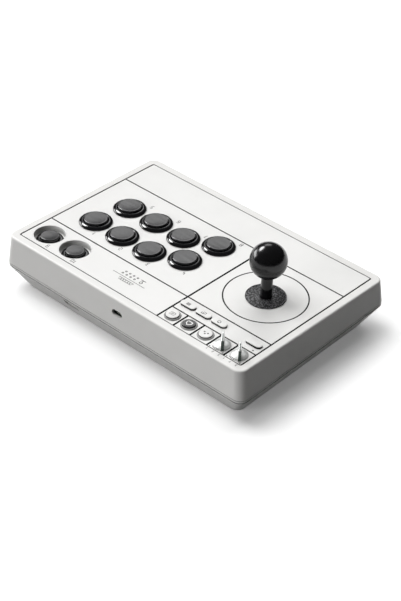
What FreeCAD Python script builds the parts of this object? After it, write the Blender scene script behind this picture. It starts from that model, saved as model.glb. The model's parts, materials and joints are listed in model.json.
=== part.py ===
import FreeCAD, Part
import math
import os

from FreeCAD import Placement, Rotation, Vector

# Arcade joystick panel. Millimetres and degrees. +X is the player's right, +Y the far side, +Z up.
# The origin is the middle of the underside. The top panel leans slightly towards the player, and
# everything fitted to it is drawn flat (u right, v away, w out of the panel) and then put in place.

# Casing
WIDTH = 305.0
DEPTH = 206.0
SEAM_HEIGHT = 27.0
PANEL_HEIGHT = 55.24
PANEL_TILT = 1.78
SIDE_DRAFT = 6.27
END_DRAFT = 4.05
CORNER_RADIUS = 9.0
CROWN_ROOM = 12.0
TOP_EDGE_RADIUS = 1.8
WALL = 2.5
FLOOR = 3.0
SEAM_GAP = 0.7
RIM_STRIP = 1.8
RIM_GROOVE = 0.8
RIM_GROOVE_DEPTH = 1.2
LIP_HEIGHT = 3.0
LIP_WALL = 1.4
LIP_ROOM = 0.6
STRIP_INSET = 0.2
BASE_LIFT = 0.5
BASE_INSET_SIDE = 14.0
BASE_INSET_BACK = 13.2
BASE_INSET_FRONT = 16.2

# Faceplate and the steel plate behind it
RIM_SIDE = 8.4
RIM_END = 9.05
FACE_THICKNESS = 2.0
FACE_GAP_SIDE = 1.6
FACE_GAP_END = 1.1
FACE_CORNER_RADIUS = 1.2
PLATE_THICKNESS = 1.5
LEDGE_THICKNESS = 2.5
LEDGE_SIDE = 14.0
LEDGE_FRONT = 7.8
LEDGE_BACK = 2.3
POCKET_SIDE = 2.0
POCKET_ROOM = 0.5
POCKET_FROM_LINE = 1.5
PLATE_CLEARANCE = 0.6
GROOVE_WIDTH = 1.1
WIDE_GROOVE = 1.6
GROOVE_DEPTH = 0.6
FRONT_BAND = 40.8
BACK_BAND = 40.66
RING_RADIUS = 39.7

# Screws that hold the two shells together
BOSS_RADIUS = 4.0
BOSS_INSET = 21.5
BOSS_FRONT = 23.0
BOSS_PITCH = 63.0
SCREW_RADIUS = 1.5
SCREW_HEAD_RADIUS = 2.9
SCREW_HEAD_HEIGHT = 2.4
SCREW_GRIP = 9.0
SCREW_SINK = 0.5
SCREW_HEAD_ROOM = 0.3
SCREW_ROOM = 0.2
CROSS_HALF = 1.6
CROSS_WIDTH = 0.7
CROSS_DEPTH = 1.2

# Base fittings
MAT_THICKNESS = 2.0
MAT_INSET = 14.5
BALLAST_THICKNESS = 4.0
BALLAST_ROUNDING = 4.0
BALLAST_MARGIN_SIDE = 34.5
BALLAST_MARGIN_FRONT = 29.0
BALLAST_MARGIN_BACK = 55.0

# Eight large push buttons: a rear row and a front row, the column nearest the stick set lower
HOLE_RADIUS = 15.0
FLANGE_OVERLAP = 1.6
FLANGE_HEIGHT = 2.9
FLANGE_ROUNDING = 2.3
BORE_ROUNDING = 0.5
HOUSING_BASE = 2.0
TUBE_WALL = 2.7
TUBE_CLEARANCE = 0.15
TUBE_DEPTH = 18.0
BUTTON_GAP = 2.9
BUTTON_EDGE = 35.1
REAR_ROW_V = 24.9
ROW_PITCH = 39.8
ROW_SHIFT = 6.9
LAST_DROP = 13.8
LAST_SHORTER = 2.9
CAP_RISE = 1.85
CAP_LENGTH = 12.5
CAP_TRAVEL = 3.2
CAP_CLEARANCE = 0.3
CAP_ROUNDING = 0.9
CAP_WALL = 1.8
CAP_TOP_WALL = 2.2
CAP_STEM_RADIUS = 2.5

# Two smaller push buttons sunk in round wells
WELL_RADIUS = 16.2
WELL_WALL = 0.9
WELL_DEPTH = 6.5
WELL_FLOOR = 2.0
WELL_EDGE = 19.9
WELL_PITCH = 35.1
WELL_V_FROM_BACK = 20.1
SMALL_HOLE_RADIUS = 12.0
SMALL_OVERLAP = 1.4
SMALL_FLANGE_HEIGHT = 2.1
SMALL_FLANGE_ROUNDING = 1.0
SMALL_TUBE_SHORTER = 2.0
SMALL_CAP_RISE = 3.6
SMALL_TUBE_WALL = 2.3
SMALL_TUBE_CLEARANCE = 0.1

# Microswitch under each push button
SWITCH_LENGTH = 20.0
SWITCH_WIDTH = 6.4
SWITCH_HEIGHT = 9.0
TERMINAL_LENGTH = 4.0
TERMINAL_WIDTH = 3.0
TERMINAL_THICKNESS = 0.8
TERMINAL_PLACES = (-7.0, 4.0)

# Control block: a row of five square cells with three round buttons and two selectors, four pills
CELL = 20.1
ROUND_RADIUS = 6.2
ROUND_RISE = 2.4
BEZEL_WIDTH = 1.0
BEZEL_HEIGHT = 0.8
PILL_LENGTH = 17.0
PILL_WIDTH = 7.0
PILL_RISE = 2.3
PILL_PITCH = 18.7
PILL_FIRST = 10.3
LAST_PILL_FROM_EDGE = 11.5
PILL_FROM_CELLS = 10.7
KEY_TRAVEL = 1.0
KEY_CLEARANCE = 0.25
KEY_EDGE_RADIUS = 0.7
STEM_RADIUS = 1.6
STEM_DEPTH = 4.8
BOARD_DEPTH = 9.0
BOARD_THICKNESS = 1.6
TACT_SIDE = 6.0
TACT_HEIGHT = 2.8
PEG_RADIUS = 1.5
PEG_FROM_RIGHT = 3.0
PEG_FROM_LEFT = 4.5
PEG_FROM_FRONT = 5.5
PEG_FROM_BACK = 5.8
PEG_BEHIND_KEYS = 2.6
BOARD_MARGIN = 3.0
LED_LENGTH = 2.6
LED_WIDTH = 1.3
LED_FROM_EDGE = 15.0
LED_FROM_CELLS = 3.1

# Selector knobs
KNOB_RADIUS = 7.8
KNOB_BASE = 2.0
KNOB_LIFT = 0.3
KNOB_HEIGHT = 11.8
KNOB_BAR = 3.4
KNOB_BAR_LENGTH = 16.0
KNOB_BAR_SHIFT = 1.8
KNOB_ANGLE = 40.5
KNOB_SHAFT_RADIUS = 3.0
KNOB_FOOT_ROUNDING = 0.6
KNOB_BAR_ROUNDING = 0.4
RUNNING_CLEARANCE = 0.05
SELECTOR_SIDE = 11.0
SELECTOR_HEIGHT = 5.2

# Joystick, drawn about its own axis
STICK_EDGE = 50.3
BALL_RADIUS = 17.5
BALL_HEIGHT = 40.3
BALL_FLAT_RADIUS = 7.0
STEM_ROD_RADIUS = 4.0
THREAD_STEP = 1.0
THREAD_LENGTH_PAST_CENTRE = 3.0
COVER_WALL = 1.5
COVER_FROM_RING = 3.0
PIVOT_DEPTH = 16.0
TILT = 8.0
OPENING_MARGIN = 5.0
WASHER_RADIUS = 19.3
WASHER_THICKNESS = 1.1
WASHER_ROUNDING = 0.5
WASHER_LIFT = 0.1
WASHER_CLEARANCE = 0.4
UNDER_WASHER_RADIUS = 17.0
BRACKET_DROP = 3.5
BRACKET_THICKNESS = 1.6
BRACKET_HALF_U = 36.0
BRACKET_HALF_V = 31.0
LEG = 7.0
LEG_INSET = 0.5
BODY_HALF = 28.0
BODY_WALL = 2.6
BODY_HEIGHT = 21.4
BODY_ROOF = 2.4
BEARING_GAP = 1.5
BEARING_HALF = 5.0
TRUNNION_END_ROOM = 0.5
RING_ROOM = 4.0
RING_WALL = 5.0
RING_THICKNESS = 7.0
TRUNNION_RADIUS = 2.0
TRUNNION_LENGTH = 7.0
PIN_RADIUS = 1.5
PIN_SHORTER = 1.0
COLLAR_WIDTH = 2.8
COLLAR_DROP = 4.2
COLLAR_HEIGHT = 0.9
SPRING_ROOM = 1.8
SPRING_WIRE = 0.5
SPRING_TURNS = 4.5
ACTUATOR_WALL = 4.0
ACTUATOR_HEIGHT = 8.0
ACTUATOR_ROUNDING = 1.0
CLIP_WIDTH = 2.0
CLIP_THICKNESS = 0.8
CLIP_MOUTH = 4.8
GATE_HEIGHT = 13.0
GATE_PLATE = 2.0
GATE_CLEARANCE = 0.57
SHAFT_PAST_GATE = 1.5
STICK_SWITCH_GAP = 5.5
STICK_SWITCH_DEPTH = 10.0
STICK_SWITCH_RISE = 6.4
STICK_SWITCH_HALF = 10.0
STICK_SWITCH_LIFT = 0.6
NUB_REACH = 1.6
NUB_HALF = 1.5
NUB_FOOT = 2.0
NUB_TOP = 4.0

# Socket for the lead, main board and battery
PORT_X = 0.4
PORT_HEIGHT = 43.4
PORT_LENGTH = 12.6
PORT_WIDTH = 6.4
SOCKET_LENGTH = 9.0
SOCKET_WIDTH = 3.2
SOCKET_DEPTH = 7.3
SOCKET_SHELL = 0.35
BOARD_LENGTH = 72.0
BOARD_REACH = 38.0
POST_RADIUS = 3.0
POST_FROM_END = 5.0
POST_FROM_BACK = 17.0
POST_PITCH = 16.0
BOARD_FROM_WALL = 0.6
CHIPS = (
    (-24.0, -14.0, 26.0, 16.0, 1.2),
    (12.0, 26.0, 30.0, 22.0, 1.2),
    (-9.0, -3.0, 34.0, 30.0, 2.5),
)
TONGUE_HALF = 3.3
TONGUE_THICKNESS = 0.7
TONGUE_INSET = 0.6
BATTERY_SIZE = (50.0, 26.0, 10.0)
BATTERY_ROUNDING = 2.0
BATTERY_FROM_SIDE = 34.5
BATTERY_FROM_BACK = 49.0

# Receiver that plugs into a console, stowed in a bay of the lower shell
BAY_X = 64.5
BAY_HEIGHT = 17.3
DONGLE_WIDTH = 18.0
DONGLE_LENGTH = 29.4
DONGLE_THICKNESS = 7.2
DONGLE_SINK = 1.6
PLUG_WIDTH = 12.0
PLUG_THICKNESS = 4.5
PLUG_LENGTH = 12.2
PLUG_WALL = 0.5
BAY_CLEARANCE = 0.35
BAY_WALL = 1.6
BAY_FOOT_WIDTH = 4.0
BAY_FOOT_INSET = 12.0
DONGLE_ROUNDING = 1.2
PLUG_SOLID = 2.0
TONGUE_SETBACK = 1.0
WINDOW_HALF = 1.1
WINDOW_REAR = 7.0
WINDOW_FRONT = 4.8

# Worked out from the above
SIDE_SLOPE = math.tan(math.radians(SIDE_DRAFT))
END_SLOPE = math.tan(math.radians(END_DRAFT))
TILT_SLOPE = math.tan(math.radians(PANEL_TILT))
PANEL_RISE = PANEL_HEIGHT - SEAM_HEIGHT
TOP_HALF_WIDTH = WIDTH / 2 - PANEL_RISE * SIDE_SLOPE
WALL_AT_PANEL = DEPTH / 2 - PANEL_RISE * END_SLOPE
TOP_BACK = WALL_AT_PANEL / (1 + END_SLOPE * TILT_SLOPE) / math.cos(math.radians(PANEL_TILT))
TOP_FRONT = -WALL_AT_PANEL / (1 - END_SLOPE * TILT_SLOPE) / math.cos(math.radians(PANEL_TILT))
FACE_HALF = TOP_HALF_WIDTH - RIM_SIDE
FACE_BACK = TOP_BACK - RIM_END
FACE_FRONT = TOP_FRONT + RIM_END
PLATE_BOTTOM = -FACE_THICKNESS - PLATE_THICKNESS
CAP_BOTTOM = -FACE_THICKNESS - LEDGE_THICKNESS
TAPER_TOP = SEAM_HEIGHT - SEAM_GAP / 2 - RIM_STRIP - RIM_GROOVE
FLOOR_TOP = BASE_LIFT + FLOOR
FLANGE_RADIUS = HOLE_RADIUS + FLANGE_OVERLAP
TUBE_RADIUS = HOLE_RADIUS - TUBE_CLEARANCE
CAP_RADIUS = TUBE_RADIUS - TUBE_WALL - CAP_CLEARANCE
SMALL_TUBE_RADIUS = SMALL_HOLE_RADIUS - SMALL_TUBE_CLEARANCE
SMALL_BORE = SMALL_TUBE_RADIUS - SMALL_TUBE_WALL
SMALL_TUBE_FOOT = -WELL_DEPTH - TUBE_DEPTH + SMALL_TUBE_SHORTER
BUTTON_PITCH = 2 * FLANGE_RADIUS + BUTTON_GAP
BACK_LINE = FACE_BACK - BACK_BAND
FRONT_LINE = FACE_FRONT + FRONT_BAND
BLOCK_EDGE = -FACE_HALF + 5 * CELL
CELL_LINE = FACE_BACK - CELL
CELL_V = FACE_BACK - CELL / 2
PILL_V = CELL_LINE - PILL_FROM_CELLS
STICK_U = -FACE_HALF + STICK_EDGE
THREAD_RADIUS = STEM_ROD_RADIUS - THREAD_STEP
COVER_RADIUS = STEM_ROD_RADIUS + COVER_WALL
OPENING_RADIUS = COVER_RADIUS + OPENING_MARGIN
RING_INNER = STEM_ROD_RADIUS + RING_ROOM
RING_OUTER = RING_INNER + RING_WALL
TRUNNION_REACH = RING_OUTER + TRUNNION_LENGTH
COLLAR_RADIUS = STEM_ROD_RADIUS + COLLAR_WIDTH
SPRING_RADIUS = STEM_ROD_RADIUS + SPRING_ROOM
ACTUATOR_RADIUS = STEM_ROD_RADIUS + ACTUATOR_WALL
CLIP_RADIUS = STEM_ROD_RADIUS + CLIP_WIDTH
STICK_SWITCH_NEAR = ACTUATOR_RADIUS + STICK_SWITCH_GAP
PLATE_HALF = FACE_HALF - LEDGE_SIDE - PLATE_CLEARANCE
PIVOT_W = -PIVOT_DEPTH
BRACKET_TOP = PLATE_BOTTOM - BRACKET_DROP
BODY_TOP = BRACKET_TOP - BRACKET_THICKNESS
BODY_BOTTOM = BODY_TOP - BODY_HEIGHT
ACTUATOR_TOP = BODY_BOTTOM
CLIP_TOP = ACTUATOR_TOP - ACTUATOR_HEIGHT
GATE_BOTTOM = BODY_BOTTOM - GATE_HEIGHT
SWING = math.radians(TILT)
GATE_OPENING = (PIVOT_W - GATE_BOTTOM) * math.tan(SWING) + STEM_ROD_RADIUS / math.cos(SWING) + GATE_CLEARANCE
BACK_WALL_AT_PORT = DEPTH / 2 - (PORT_HEIGHT - SEAM_HEIGHT) * END_SLOPE


def rounded_wire(x0, x1, y0, y1, radius, z):
    """A rectangle with round corners, as a closed wire at one height."""
    s = radius * (1 - math.sqrt(0.5))
    corners = [
        ((x1 - radius, y0), (x1 - s, y0 + s), (x1, y0 + radius)),
        ((x1, y1 - radius), (x1 - s, y1 - s), (x1 - radius, y1)),
        ((x0 + radius, y1), (x0 + s, y1 - s), (x0, y1 - radius)),
        ((x0, y0 + radius), (x0 + s, y0 + s), (x0 + radius, y0)),
    ]
    edges = []
    start = Vector(*corners[-1][2], z)
    for corner in corners:
        first, middle, last = [Vector(x, y, z) for x, y in corner]
        edges.append(Part.LineSegment(start, first).toShape())
        edges.append(Part.Arc(first, middle, last).toShape())
        start = last
    return Part.Wire(edges)


def rounded_block(x0, x1, y0, y1, radius, z0, z1):
    wire = rounded_wire(x0, x1, y0, y1, radius, z0)
    return Part.Face(wire).extrude(Vector(0, 0, z1 - z0))


def block(x0, x1, y0, y1, z0, z1):
    return Part.makeBox(x1 - x0, y1 - y0, z1 - z0, Vector(x0, y0, z0))


def disc(x, y, radius, z0, z1):
    return Part.makeCylinder(radius, z1 - z0, Vector(x, y, z0))


def tube(x, y, outer, inner, z0, z1):
    return disc(x, y, outer, z0, z1).cut(disc(x, y, inner, z0 - 1, z1 + 1))


def slot(x, y, length, width, z0, z1):
    """A flat-sided bar with round ends, its long side along x."""
    return rounded_block(
        x - length / 2, x + length / 2, y - width / 2, y + width / 2, width / 2 - 0.001, z0, z1
    )


def round_circle_edges(shape, radius, height, fillet):
    """Rounds the circular edges of one radius at one height."""
    picked = []
    for edge in shape.Edges:
        if not isinstance(edge.Curve, Part.Circle):
            continue
        if abs(edge.Curve.Radius - radius) < 1e-4 and abs(edge.Curve.Center.z - height) < 1e-4:
            picked.append(edge)
    return shape.makeFillet(fillet, picked)


def round_level_edges(shape, height, fillet):
    """Rounds every edge that lies wholly at one height."""
    picked = []
    for edge in shape.Edges:
        box = edge.BoundBox
        if abs(box.ZMin - height) < 1e-3 and abs(box.ZMax - height) < 1e-3:
            picked.append(edge)
    return shape.makeFillet(fillet, picked)


def on_panel(shape):
    """Puts a shape drawn in u, v, w onto the leaning panel."""
    seat = Placement(Vector(0, 0, PANEL_HEIGHT), Rotation(Vector(1, 0, 0), PANEL_TILT))
    placed = shape.copy()
    placed.Placement = seat.multiply(placed.Placement)
    return placed


def on_stick(shape):
    """Puts a shape drawn about the stick's axis in its place on the panel."""
    moved = shape.copy()
    moved.translate(Vector(STICK_U, 0, 0))
    return on_panel(moved)


def casing(z0, z1, inset):
    """The upper casing's outer form, drawn in by inset, between two heights."""
    levels = []
    for z in (z0, z1):
        rise = z - SEAM_HEIGHT
        half_x = WIDTH / 2 - inset - rise * SIDE_SLOPE
        half_y = DEPTH / 2 - inset - rise * END_SLOPE
        radius = CORNER_RADIUS - inset
        levels.append(rounded_wire(-half_x, half_x, -half_y, half_y, radius, z))
    return Part.makeLoft(levels, True, True)


def base_form(z0, z1, inset):
    """The lower casing's tapered form, drawn in by inset, between two heights."""
    levels = []
    for z in (z0, z1):
        share = (TAPER_TOP - z) / (TAPER_TOP - BASE_LIFT)
        half_x = WIDTH / 2 - inset - BASE_INSET_SIDE * share
        front = -DEPTH / 2 + inset + BASE_INSET_FRONT * share
        back = DEPTH / 2 - inset - BASE_INSET_BACK * share
        levels.append(rounded_wire(-half_x, half_x, front, back, CORNER_RADIUS - inset, z))
    return Part.makeLoft(levels, True, True)


def seam_band(inset, z0, z1):
    return rounded_block(
        inset - WIDTH / 2, WIDTH / 2 - inset, inset - DEPTH / 2, DEPTH / 2 - inset,
        CORNER_RADIUS - inset, z0, z1,
    )


def boss_places():
    first = -DEPTH / 2 + BOSS_FRONT
    half = WIDTH / 2 - BOSS_INSET
    return [(side * half, first + BOSS_PITCH * row) for side in (-1, 1) for row in range(3)]


def large_buttons():
    """Centres of the eight large buttons, rear row first, each row from the right."""
    places = []
    for row in range(2):
        for column in range(4):
            u = FACE_HALF - BUTTON_EDGE - BUTTON_PITCH * column - ROW_SHIFT * row
            v = REAR_ROW_V - ROW_PITCH * row
            if column == 3:
                u += LAST_SHORTER
                v -= LAST_DROP
            places.append((u, v))
    return places


def wells():
    v = FACE_BACK - WELL_V_FROM_BACK
    return [(FACE_HALF - WELL_EDGE - WELL_PITCH * i, v) for i in range(2)]


def round_buttons():
    return [(BLOCK_EDGE - CELL * (i + 0.5), CELL_V) for i in range(3)]


def knobs():
    return [(BLOCK_EDGE - CELL * (i + 0.5), CELL_V) for i in (3, 4)]


def pills():
    places = [(BLOCK_EDGE - PILL_FIRST - PILL_PITCH * i, PILL_V) for i in range(3)]
    places.append((-FACE_HALF + LAST_PILL_FROM_EDGE, PILL_V))
    return places


def led_place():
    return (-FACE_HALF + LED_FROM_EDGE, CELL_LINE - LED_FROM_CELLS)


def board_pegs():
    right = BLOCK_EDGE - PEG_FROM_RIGHT
    left = -FACE_HALF + PEG_FROM_LEFT
    front = BACK_LINE + PEG_FROM_FRONT
    back = FACE_BACK - PEG_FROM_BACK
    between_keys = (BLOCK_EDGE - 3 * CELL, CELL_V + PEG_BEHIND_KEYS)
    return [(left, front), (right, front), (right, back), between_keys]


def ledge_opening(clearance, z0, z1):
    """The hole inside the ledge that the faceplate rests on, wider behind the rear band."""
    half = FACE_HALF - LEDGE_SIDE - clearance
    front = FACE_FRONT + LEDGE_FRONT + clearance
    back = FACE_BACK - LEDGE_BACK - clearance
    wide = FACE_HALF - POCKET_SIDE - clearance
    pocket = block(-wide, wide, BACK_LINE + POCKET_FROM_LINE + clearance, back, z0, z1)
    return block(-half, half, front, back, z0, z1).fuse(pocket)


def port_hole(length, width, y0, y1):
    """An upright slot with round ends through the back wall."""
    hole = slot(0, 0, length, width, 0, y1 - y0)
    hole.rotate(Vector(0, 0, 0), Vector(1, 0, 0), 90)
    hole.translate(Vector(PORT_X, y1, PORT_HEIGHT))
    return hole


def make_top_shell():
    crown = PANEL_HEIGHT + CROWN_ROOM
    above = on_panel(block(-WIDTH, WIDTH, -DEPTH, DEPTH, 0, PANEL_HEIGHT))
    outer = casing(SEAM_HEIGHT + SEAM_GAP / 2, crown, 0).cut(above)
    rim = []
    for edge in outer.Edges:
        if all(abs(height_over_panel(vertex.Point)) < 1e-3 for vertex in edge.Vertexes):
            rim.append(edge)
    outer = outer.makeFillet(TOP_EDGE_RADIUS, rim)
    above_cap = on_panel(block(-WIDTH, WIDTH, -DEPTH, DEPTH, CAP_BOTTOM, PANEL_HEIGHT))
    hollow = casing(SEAM_HEIGHT - 1, crown, WALL).cut(above_cap)
    shell = outer.cut(hollow)
    side = FACE_GAP_SIDE / 2
    end = FACE_GAP_END / 2
    seat = rounded_block(
        -FACE_HALF - side, FACE_HALF + side, FACE_FRONT - end, FACE_BACK + end,
        FACE_CORNER_RADIUS + side, -FACE_THICKNESS, TOP_EDGE_RADIUS,
    )
    shell = shell.cut(on_panel(seat))
    shell = shell.cut(on_panel(ledge_opening(0, CAP_BOTTOM - 1, 0)))
    bosses = [disc(x, y, BOSS_RADIUS, SEAM_HEIGHT, crown) for x, y in boss_places()]
    shell = shell.fuse([boss.cut(above_cap) for boss in bosses])
    for x, y in boss_places():
        shell = shell.cut(disc(x, y, SCREW_RADIUS, SEAM_HEIGHT - 1, SEAM_HEIGHT + SCREW_GRIP + 2))
    shell = shell.cut(port_hole(PORT_LENGTH, PORT_WIDTH, BACK_WALL_AT_PORT - 8, DEPTH))
    return shell.removeSplitter()


def height_over_panel(point):
    """Distance of a point above the panel's surface."""
    lean = math.radians(PANEL_TILT)
    return (point.z - PANEL_HEIGHT) * math.cos(lean) - point.y * math.sin(lean)


def groove_u(v, u0, u1):
    return block(u0, u1, v - GROOVE_WIDTH / 2, v + GROOVE_WIDTH / 2, -GROOVE_DEPTH, 1)


def groove_v(u, v0, v1):
    return block(u - WIDE_GROOVE / 2, u + WIDE_GROOVE / 2, v0, v1, -GROOVE_DEPTH, 1)


def faceplate_grooves():
    """Engraved lines: two across, one down the block's edge, the cell grid and the stick's ring."""
    reach = FACE_HALF + 1
    lines = [groove_u(BACK_LINE, -reach, reach), groove_u(FRONT_LINE, -reach, reach)]
    lines.append(groove_v(BLOCK_EDGE, FRONT_LINE, FACE_BACK + 1))
    lines.append(groove_u(CELL_LINE, -reach, BLOCK_EDGE))
    for i in range(1, 5):
        lines.append(groove_v(BLOCK_EDGE - CELL * i, CELL_LINE, FACE_BACK + 1))
    half = GROOVE_WIDTH / 2
    lines.append(tube(STICK_U, 0, RING_RADIUS + half, RING_RADIUS - half, -GROOVE_DEPTH, 1))
    return lines


def make_faceplate():
    side = FACE_GAP_SIDE / 2
    end = FACE_GAP_END / 2
    plate = rounded_block(
        -FACE_HALF + side, FACE_HALF - side, FACE_FRONT + end, FACE_BACK - end,
        FACE_CORNER_RADIUS, -FACE_THICKNESS, 0,
    )
    bezel = ROUND_RADIUS + KEY_CLEARANCE + BEZEL_WIDTH
    bezels = [disc(u, v, bezel, -1, BEZEL_HEIGHT) for u, v in round_buttons()]
    pegs = [disc(u, v, PEG_RADIUS, -BOARD_DEPTH, -1) for u, v in board_pegs()]
    plate = plate.cut(faceplate_grooves()).fuse(bezels + pegs)
    below = -FACE_THICKNESS - 1
    holes = [disc(u, v, HOLE_RADIUS, below, 1) for u, v in large_buttons()]
    holes += [disc(u, v, WELL_RADIUS + RUNNING_CLEARANCE, below, 1) for u, v in wells()]
    holes += [disc(u, v, ROUND_RADIUS + KEY_CLEARANCE, below, 2) for u, v in round_buttons()]
    holes += [disc(u, v, KNOB_SHAFT_RADIUS + KEY_CLEARANCE, below, 1) for u, v in knobs()]
    wider = 2 * KEY_CLEARANCE
    holes += [slot(u, v, PILL_LENGTH + wider, PILL_WIDTH + wider, below, 1) for u, v in pills()]
    holes.append(slot(*led_place(), LED_LENGTH, LED_WIDTH, below, 1))
    holes.append(disc(STICK_U, 0, OPENING_RADIUS, below, 1))
    return on_panel(plate.cut(holes).removeSplitter())


def make_mounting_plate():
    plate = ledge_opening(PLATE_CLEARANCE, PLATE_BOTTOM, -FACE_THICKNESS)
    below = PLATE_BOTTOM - 1
    notch = block(-FACE_HALF, BLOCK_EDGE - 1, BACK_LINE + POCKET_FROM_LINE - 0.1, FACE_BACK, below, 0)
    holes = [notch]
    holes += [disc(u, v, HOLE_RADIUS, below, 0) for u, v in large_buttons()]
    holes += [disc(u, v, WELL_RADIUS + RUNNING_CLEARANCE, below, 0) for u, v in wells()]
    holes.append(disc(STICK_U, 0, OPENING_RADIUS, below, 0))
    holes += [disc(STICK_U + u, v, SCREW_RADIUS, below, 0) for u, v in bracket_screws()]
    return on_panel(plate.cut(holes).removeSplitter())


def bay_box(grow, y0, y1):
    half_x = DONGLE_WIDTH / 2 + BAY_CLEARANCE + grow
    half_z = DONGLE_THICKNESS / 2 + BAY_CLEARANCE + grow
    return block(BAY_X - half_x, BAY_X + half_x, y0, y1, BAY_HEIGHT - half_z, BAY_HEIGHT + half_z)


def bay_mouth():
    """How far back the tapered wall is at the foot of the bay."""
    foot = BAY_HEIGHT - DONGLE_THICKNESS / 2
    share = (TAPER_TOP - foot) / (TAPER_TOP - BASE_LIFT)
    return DEPTH / 2 - BASE_INSET_BACK * share


def bay_end():
    return bay_mouth() - DONGLE_SINK - DONGLE_LENGTH - PLUG_LENGTH - BAY_CLEARANCE


def board_posts():
    reach = BOARD_LENGTH / 2 - POST_FROM_END
    first = back_of_board() - POST_FROM_BACK
    return [(side * reach, first - POST_PITCH * row) for side in (-1, 1) for row in range(2)]


def back_of_board():
    return BACK_WALL_AT_PORT - WALL - BOARD_FROM_WALL


def make_bottom_shell():
    strip_foot = TAPER_TOP + RIM_GROOVE
    strip_top = strip_foot + RIM_STRIP
    outer = base_form(BASE_LIFT, TAPER_TOP, 0)
    outer = outer.fuse([
        seam_band(RIM_GROOVE_DEPTH, TAPER_TOP, strip_foot),
        seam_band(STRIP_INSET, strip_foot, strip_top),
        seam_band(WALL + LIP_ROOM, strip_top, strip_top + LIP_HEIGHT),
    ])
    lip_inner = WALL + LIP_ROOM + LIP_WALL
    hollow = base_form(FLOOR_TOP, TAPER_TOP, lip_inner)
    hollow = hollow.fuse(seam_band(lip_inner, TAPER_TOP, strip_top + LIP_HEIGHT + 1))
    shell = outer.cut(hollow)
    bosses = [disc(x, y, BOSS_RADIUS, FLOOR_TOP - 1, SEAM_HEIGHT) for x, y in boss_places()]
    posts = [disc(x, y, POST_RADIUS, FLOOR_TOP - 1, board_bottom()) for x, y in board_posts()]
    bay = bay_box(BAY_WALL, bay_end() - BAY_WALL, bay_mouth() - 1)
    side = BAY_FOOT_WIDTH / 2
    near = bay_mouth() - BAY_FOOT_INSET
    under_bay = BAY_HEIGHT - DONGLE_THICKNESS
    bay_foot = block(BAY_X - side, BAY_X + side, bay_end(), near, FLOOR_TOP - 1, under_bay)
    shell = shell.fuse(bosses + posts + [bay, bay_foot])
    cuts = [bay_box(0, bay_end(), DEPTH)]
    for x, y in boss_places():
        cuts.append(disc(x, y, SCREW_HEAD_RADIUS + SCREW_HEAD_ROOM, -1, FLOOR_TOP + SCREW_SINK))
        cuts.append(disc(x, y, SCREW_RADIUS + SCREW_ROOM, 0, SEAM_HEIGHT + 1))
    cuts.append(mat_block(BASE_LIFT - 1))
    return shell.cut(cuts).removeSplitter()


def mat_block(z0):
    x = WIDTH / 2 - BASE_INSET_SIDE - MAT_INSET
    front = -DEPTH / 2 + BASE_INSET_FRONT + MAT_INSET
    back = DEPTH / 2 - BASE_INSET_BACK - MAT_INSET
    return rounded_block(-x, x, front, back, CORNER_RADIUS, z0, MAT_THICKNESS)


def make_ballast_plate():
    x = WIDTH / 2 - BALLAST_MARGIN_SIDE
    front = -DEPTH / 2 + BALLAST_MARGIN_FRONT
    back = DEPTH / 2 - BALLAST_MARGIN_BACK
    top = FLOOR_TOP + BALLAST_THICKNESS
    return rounded_block(-x, x, front, back, BALLAST_ROUNDING, FLOOR_TOP, top)


def screw(x, y, head_z, tip_z):
    """A pan-head screw standing on its head at head_z, with a cross recess."""
    way = 1 if tip_z > head_z else -1
    low = min(head_z, head_z + way * SCREW_HEAD_HEIGHT)
    head = disc(x, y, SCREW_HEAD_RADIUS, low, low + SCREW_HEAD_HEIGHT)
    shank = disc(x, y, SCREW_RADIUS, min(head_z, tip_z), max(head_z, tip_z))
    half = CROSS_WIDTH / 2
    foot = head_z - CROSS_DEPTH
    top = head_z + CROSS_DEPTH
    recess = block(x - CROSS_HALF, x + CROSS_HALF, y - half, y + half, foot, top)
    cross = block(x - half, x + half, y - CROSS_HALF, y + CROSS_HALF, foot, top)
    return head.fuse(shank).cut([recess, cross])


def bracket_screws():
    reach_u = BRACKET_HALF_U - LEG / 2 - LEG_INSET
    reach_v = BRACKET_HALF_V - LEG / 2 - LEG_INSET
    return [(i * reach_u, j * reach_v) for i in (-1, 1) for j in (-1, 1)]


def make_screws():
    """Six casing screws and the four that hold the stick's bracket."""
    head = FLOOR_TOP + SCREW_SINK - SCREW_HEAD_HEIGHT
    solids = [screw(x, y, head, SEAM_HEIGHT + SCREW_GRIP) for x, y in boss_places()]
    for u, v in bracket_screws():
        solids.append(on_stick(screw(u, v, BODY_TOP - SCREW_HEAD_HEIGHT, -FACE_THICKNESS)))
    return Part.makeCompound(solids)


def make_button_housing(u, v):
    """Flange with a rounded rim over a tube that stands through the panel."""
    flange = disc(u, v, FLANGE_RADIUS, 0, FLANGE_HEIGHT)
    flange = round_circle_edges(flange, FLANGE_RADIUS, FLANGE_HEIGHT, FLANGE_ROUNDING)
    body = flange.fuse(disc(u, v, TUBE_RADIUS, -TUBE_DEPTH, 0))
    bore = TUBE_RADIUS - TUBE_WALL
    body = body.cut(disc(u, v, bore, -TUBE_DEPTH + HOUSING_BASE, FLANGE_HEIGHT + 1))
    body = round_circle_edges(body, bore, FLANGE_HEIGHT, BORE_ROUNDING)
    return on_panel(body.removeSplitter())


def make_button_cap(u, v, radius, top):
    """A hollow cap with a central stem, guided by the housing's bore."""
    cap = disc(u, v, radius, top - CAP_LENGTH, top)
    cap = round_circle_edges(cap, radius, top, CAP_ROUNDING)
    cap = cap.cut(disc(u, v, radius - CAP_WALL, top - CAP_LENGTH - 1, top - CAP_TOP_WALL))
    cap = cap.fuse(disc(u, v, CAP_STEM_RADIUS, top - CAP_LENGTH + 1, top - 1))
    return on_panel(cap.removeSplitter())


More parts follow.
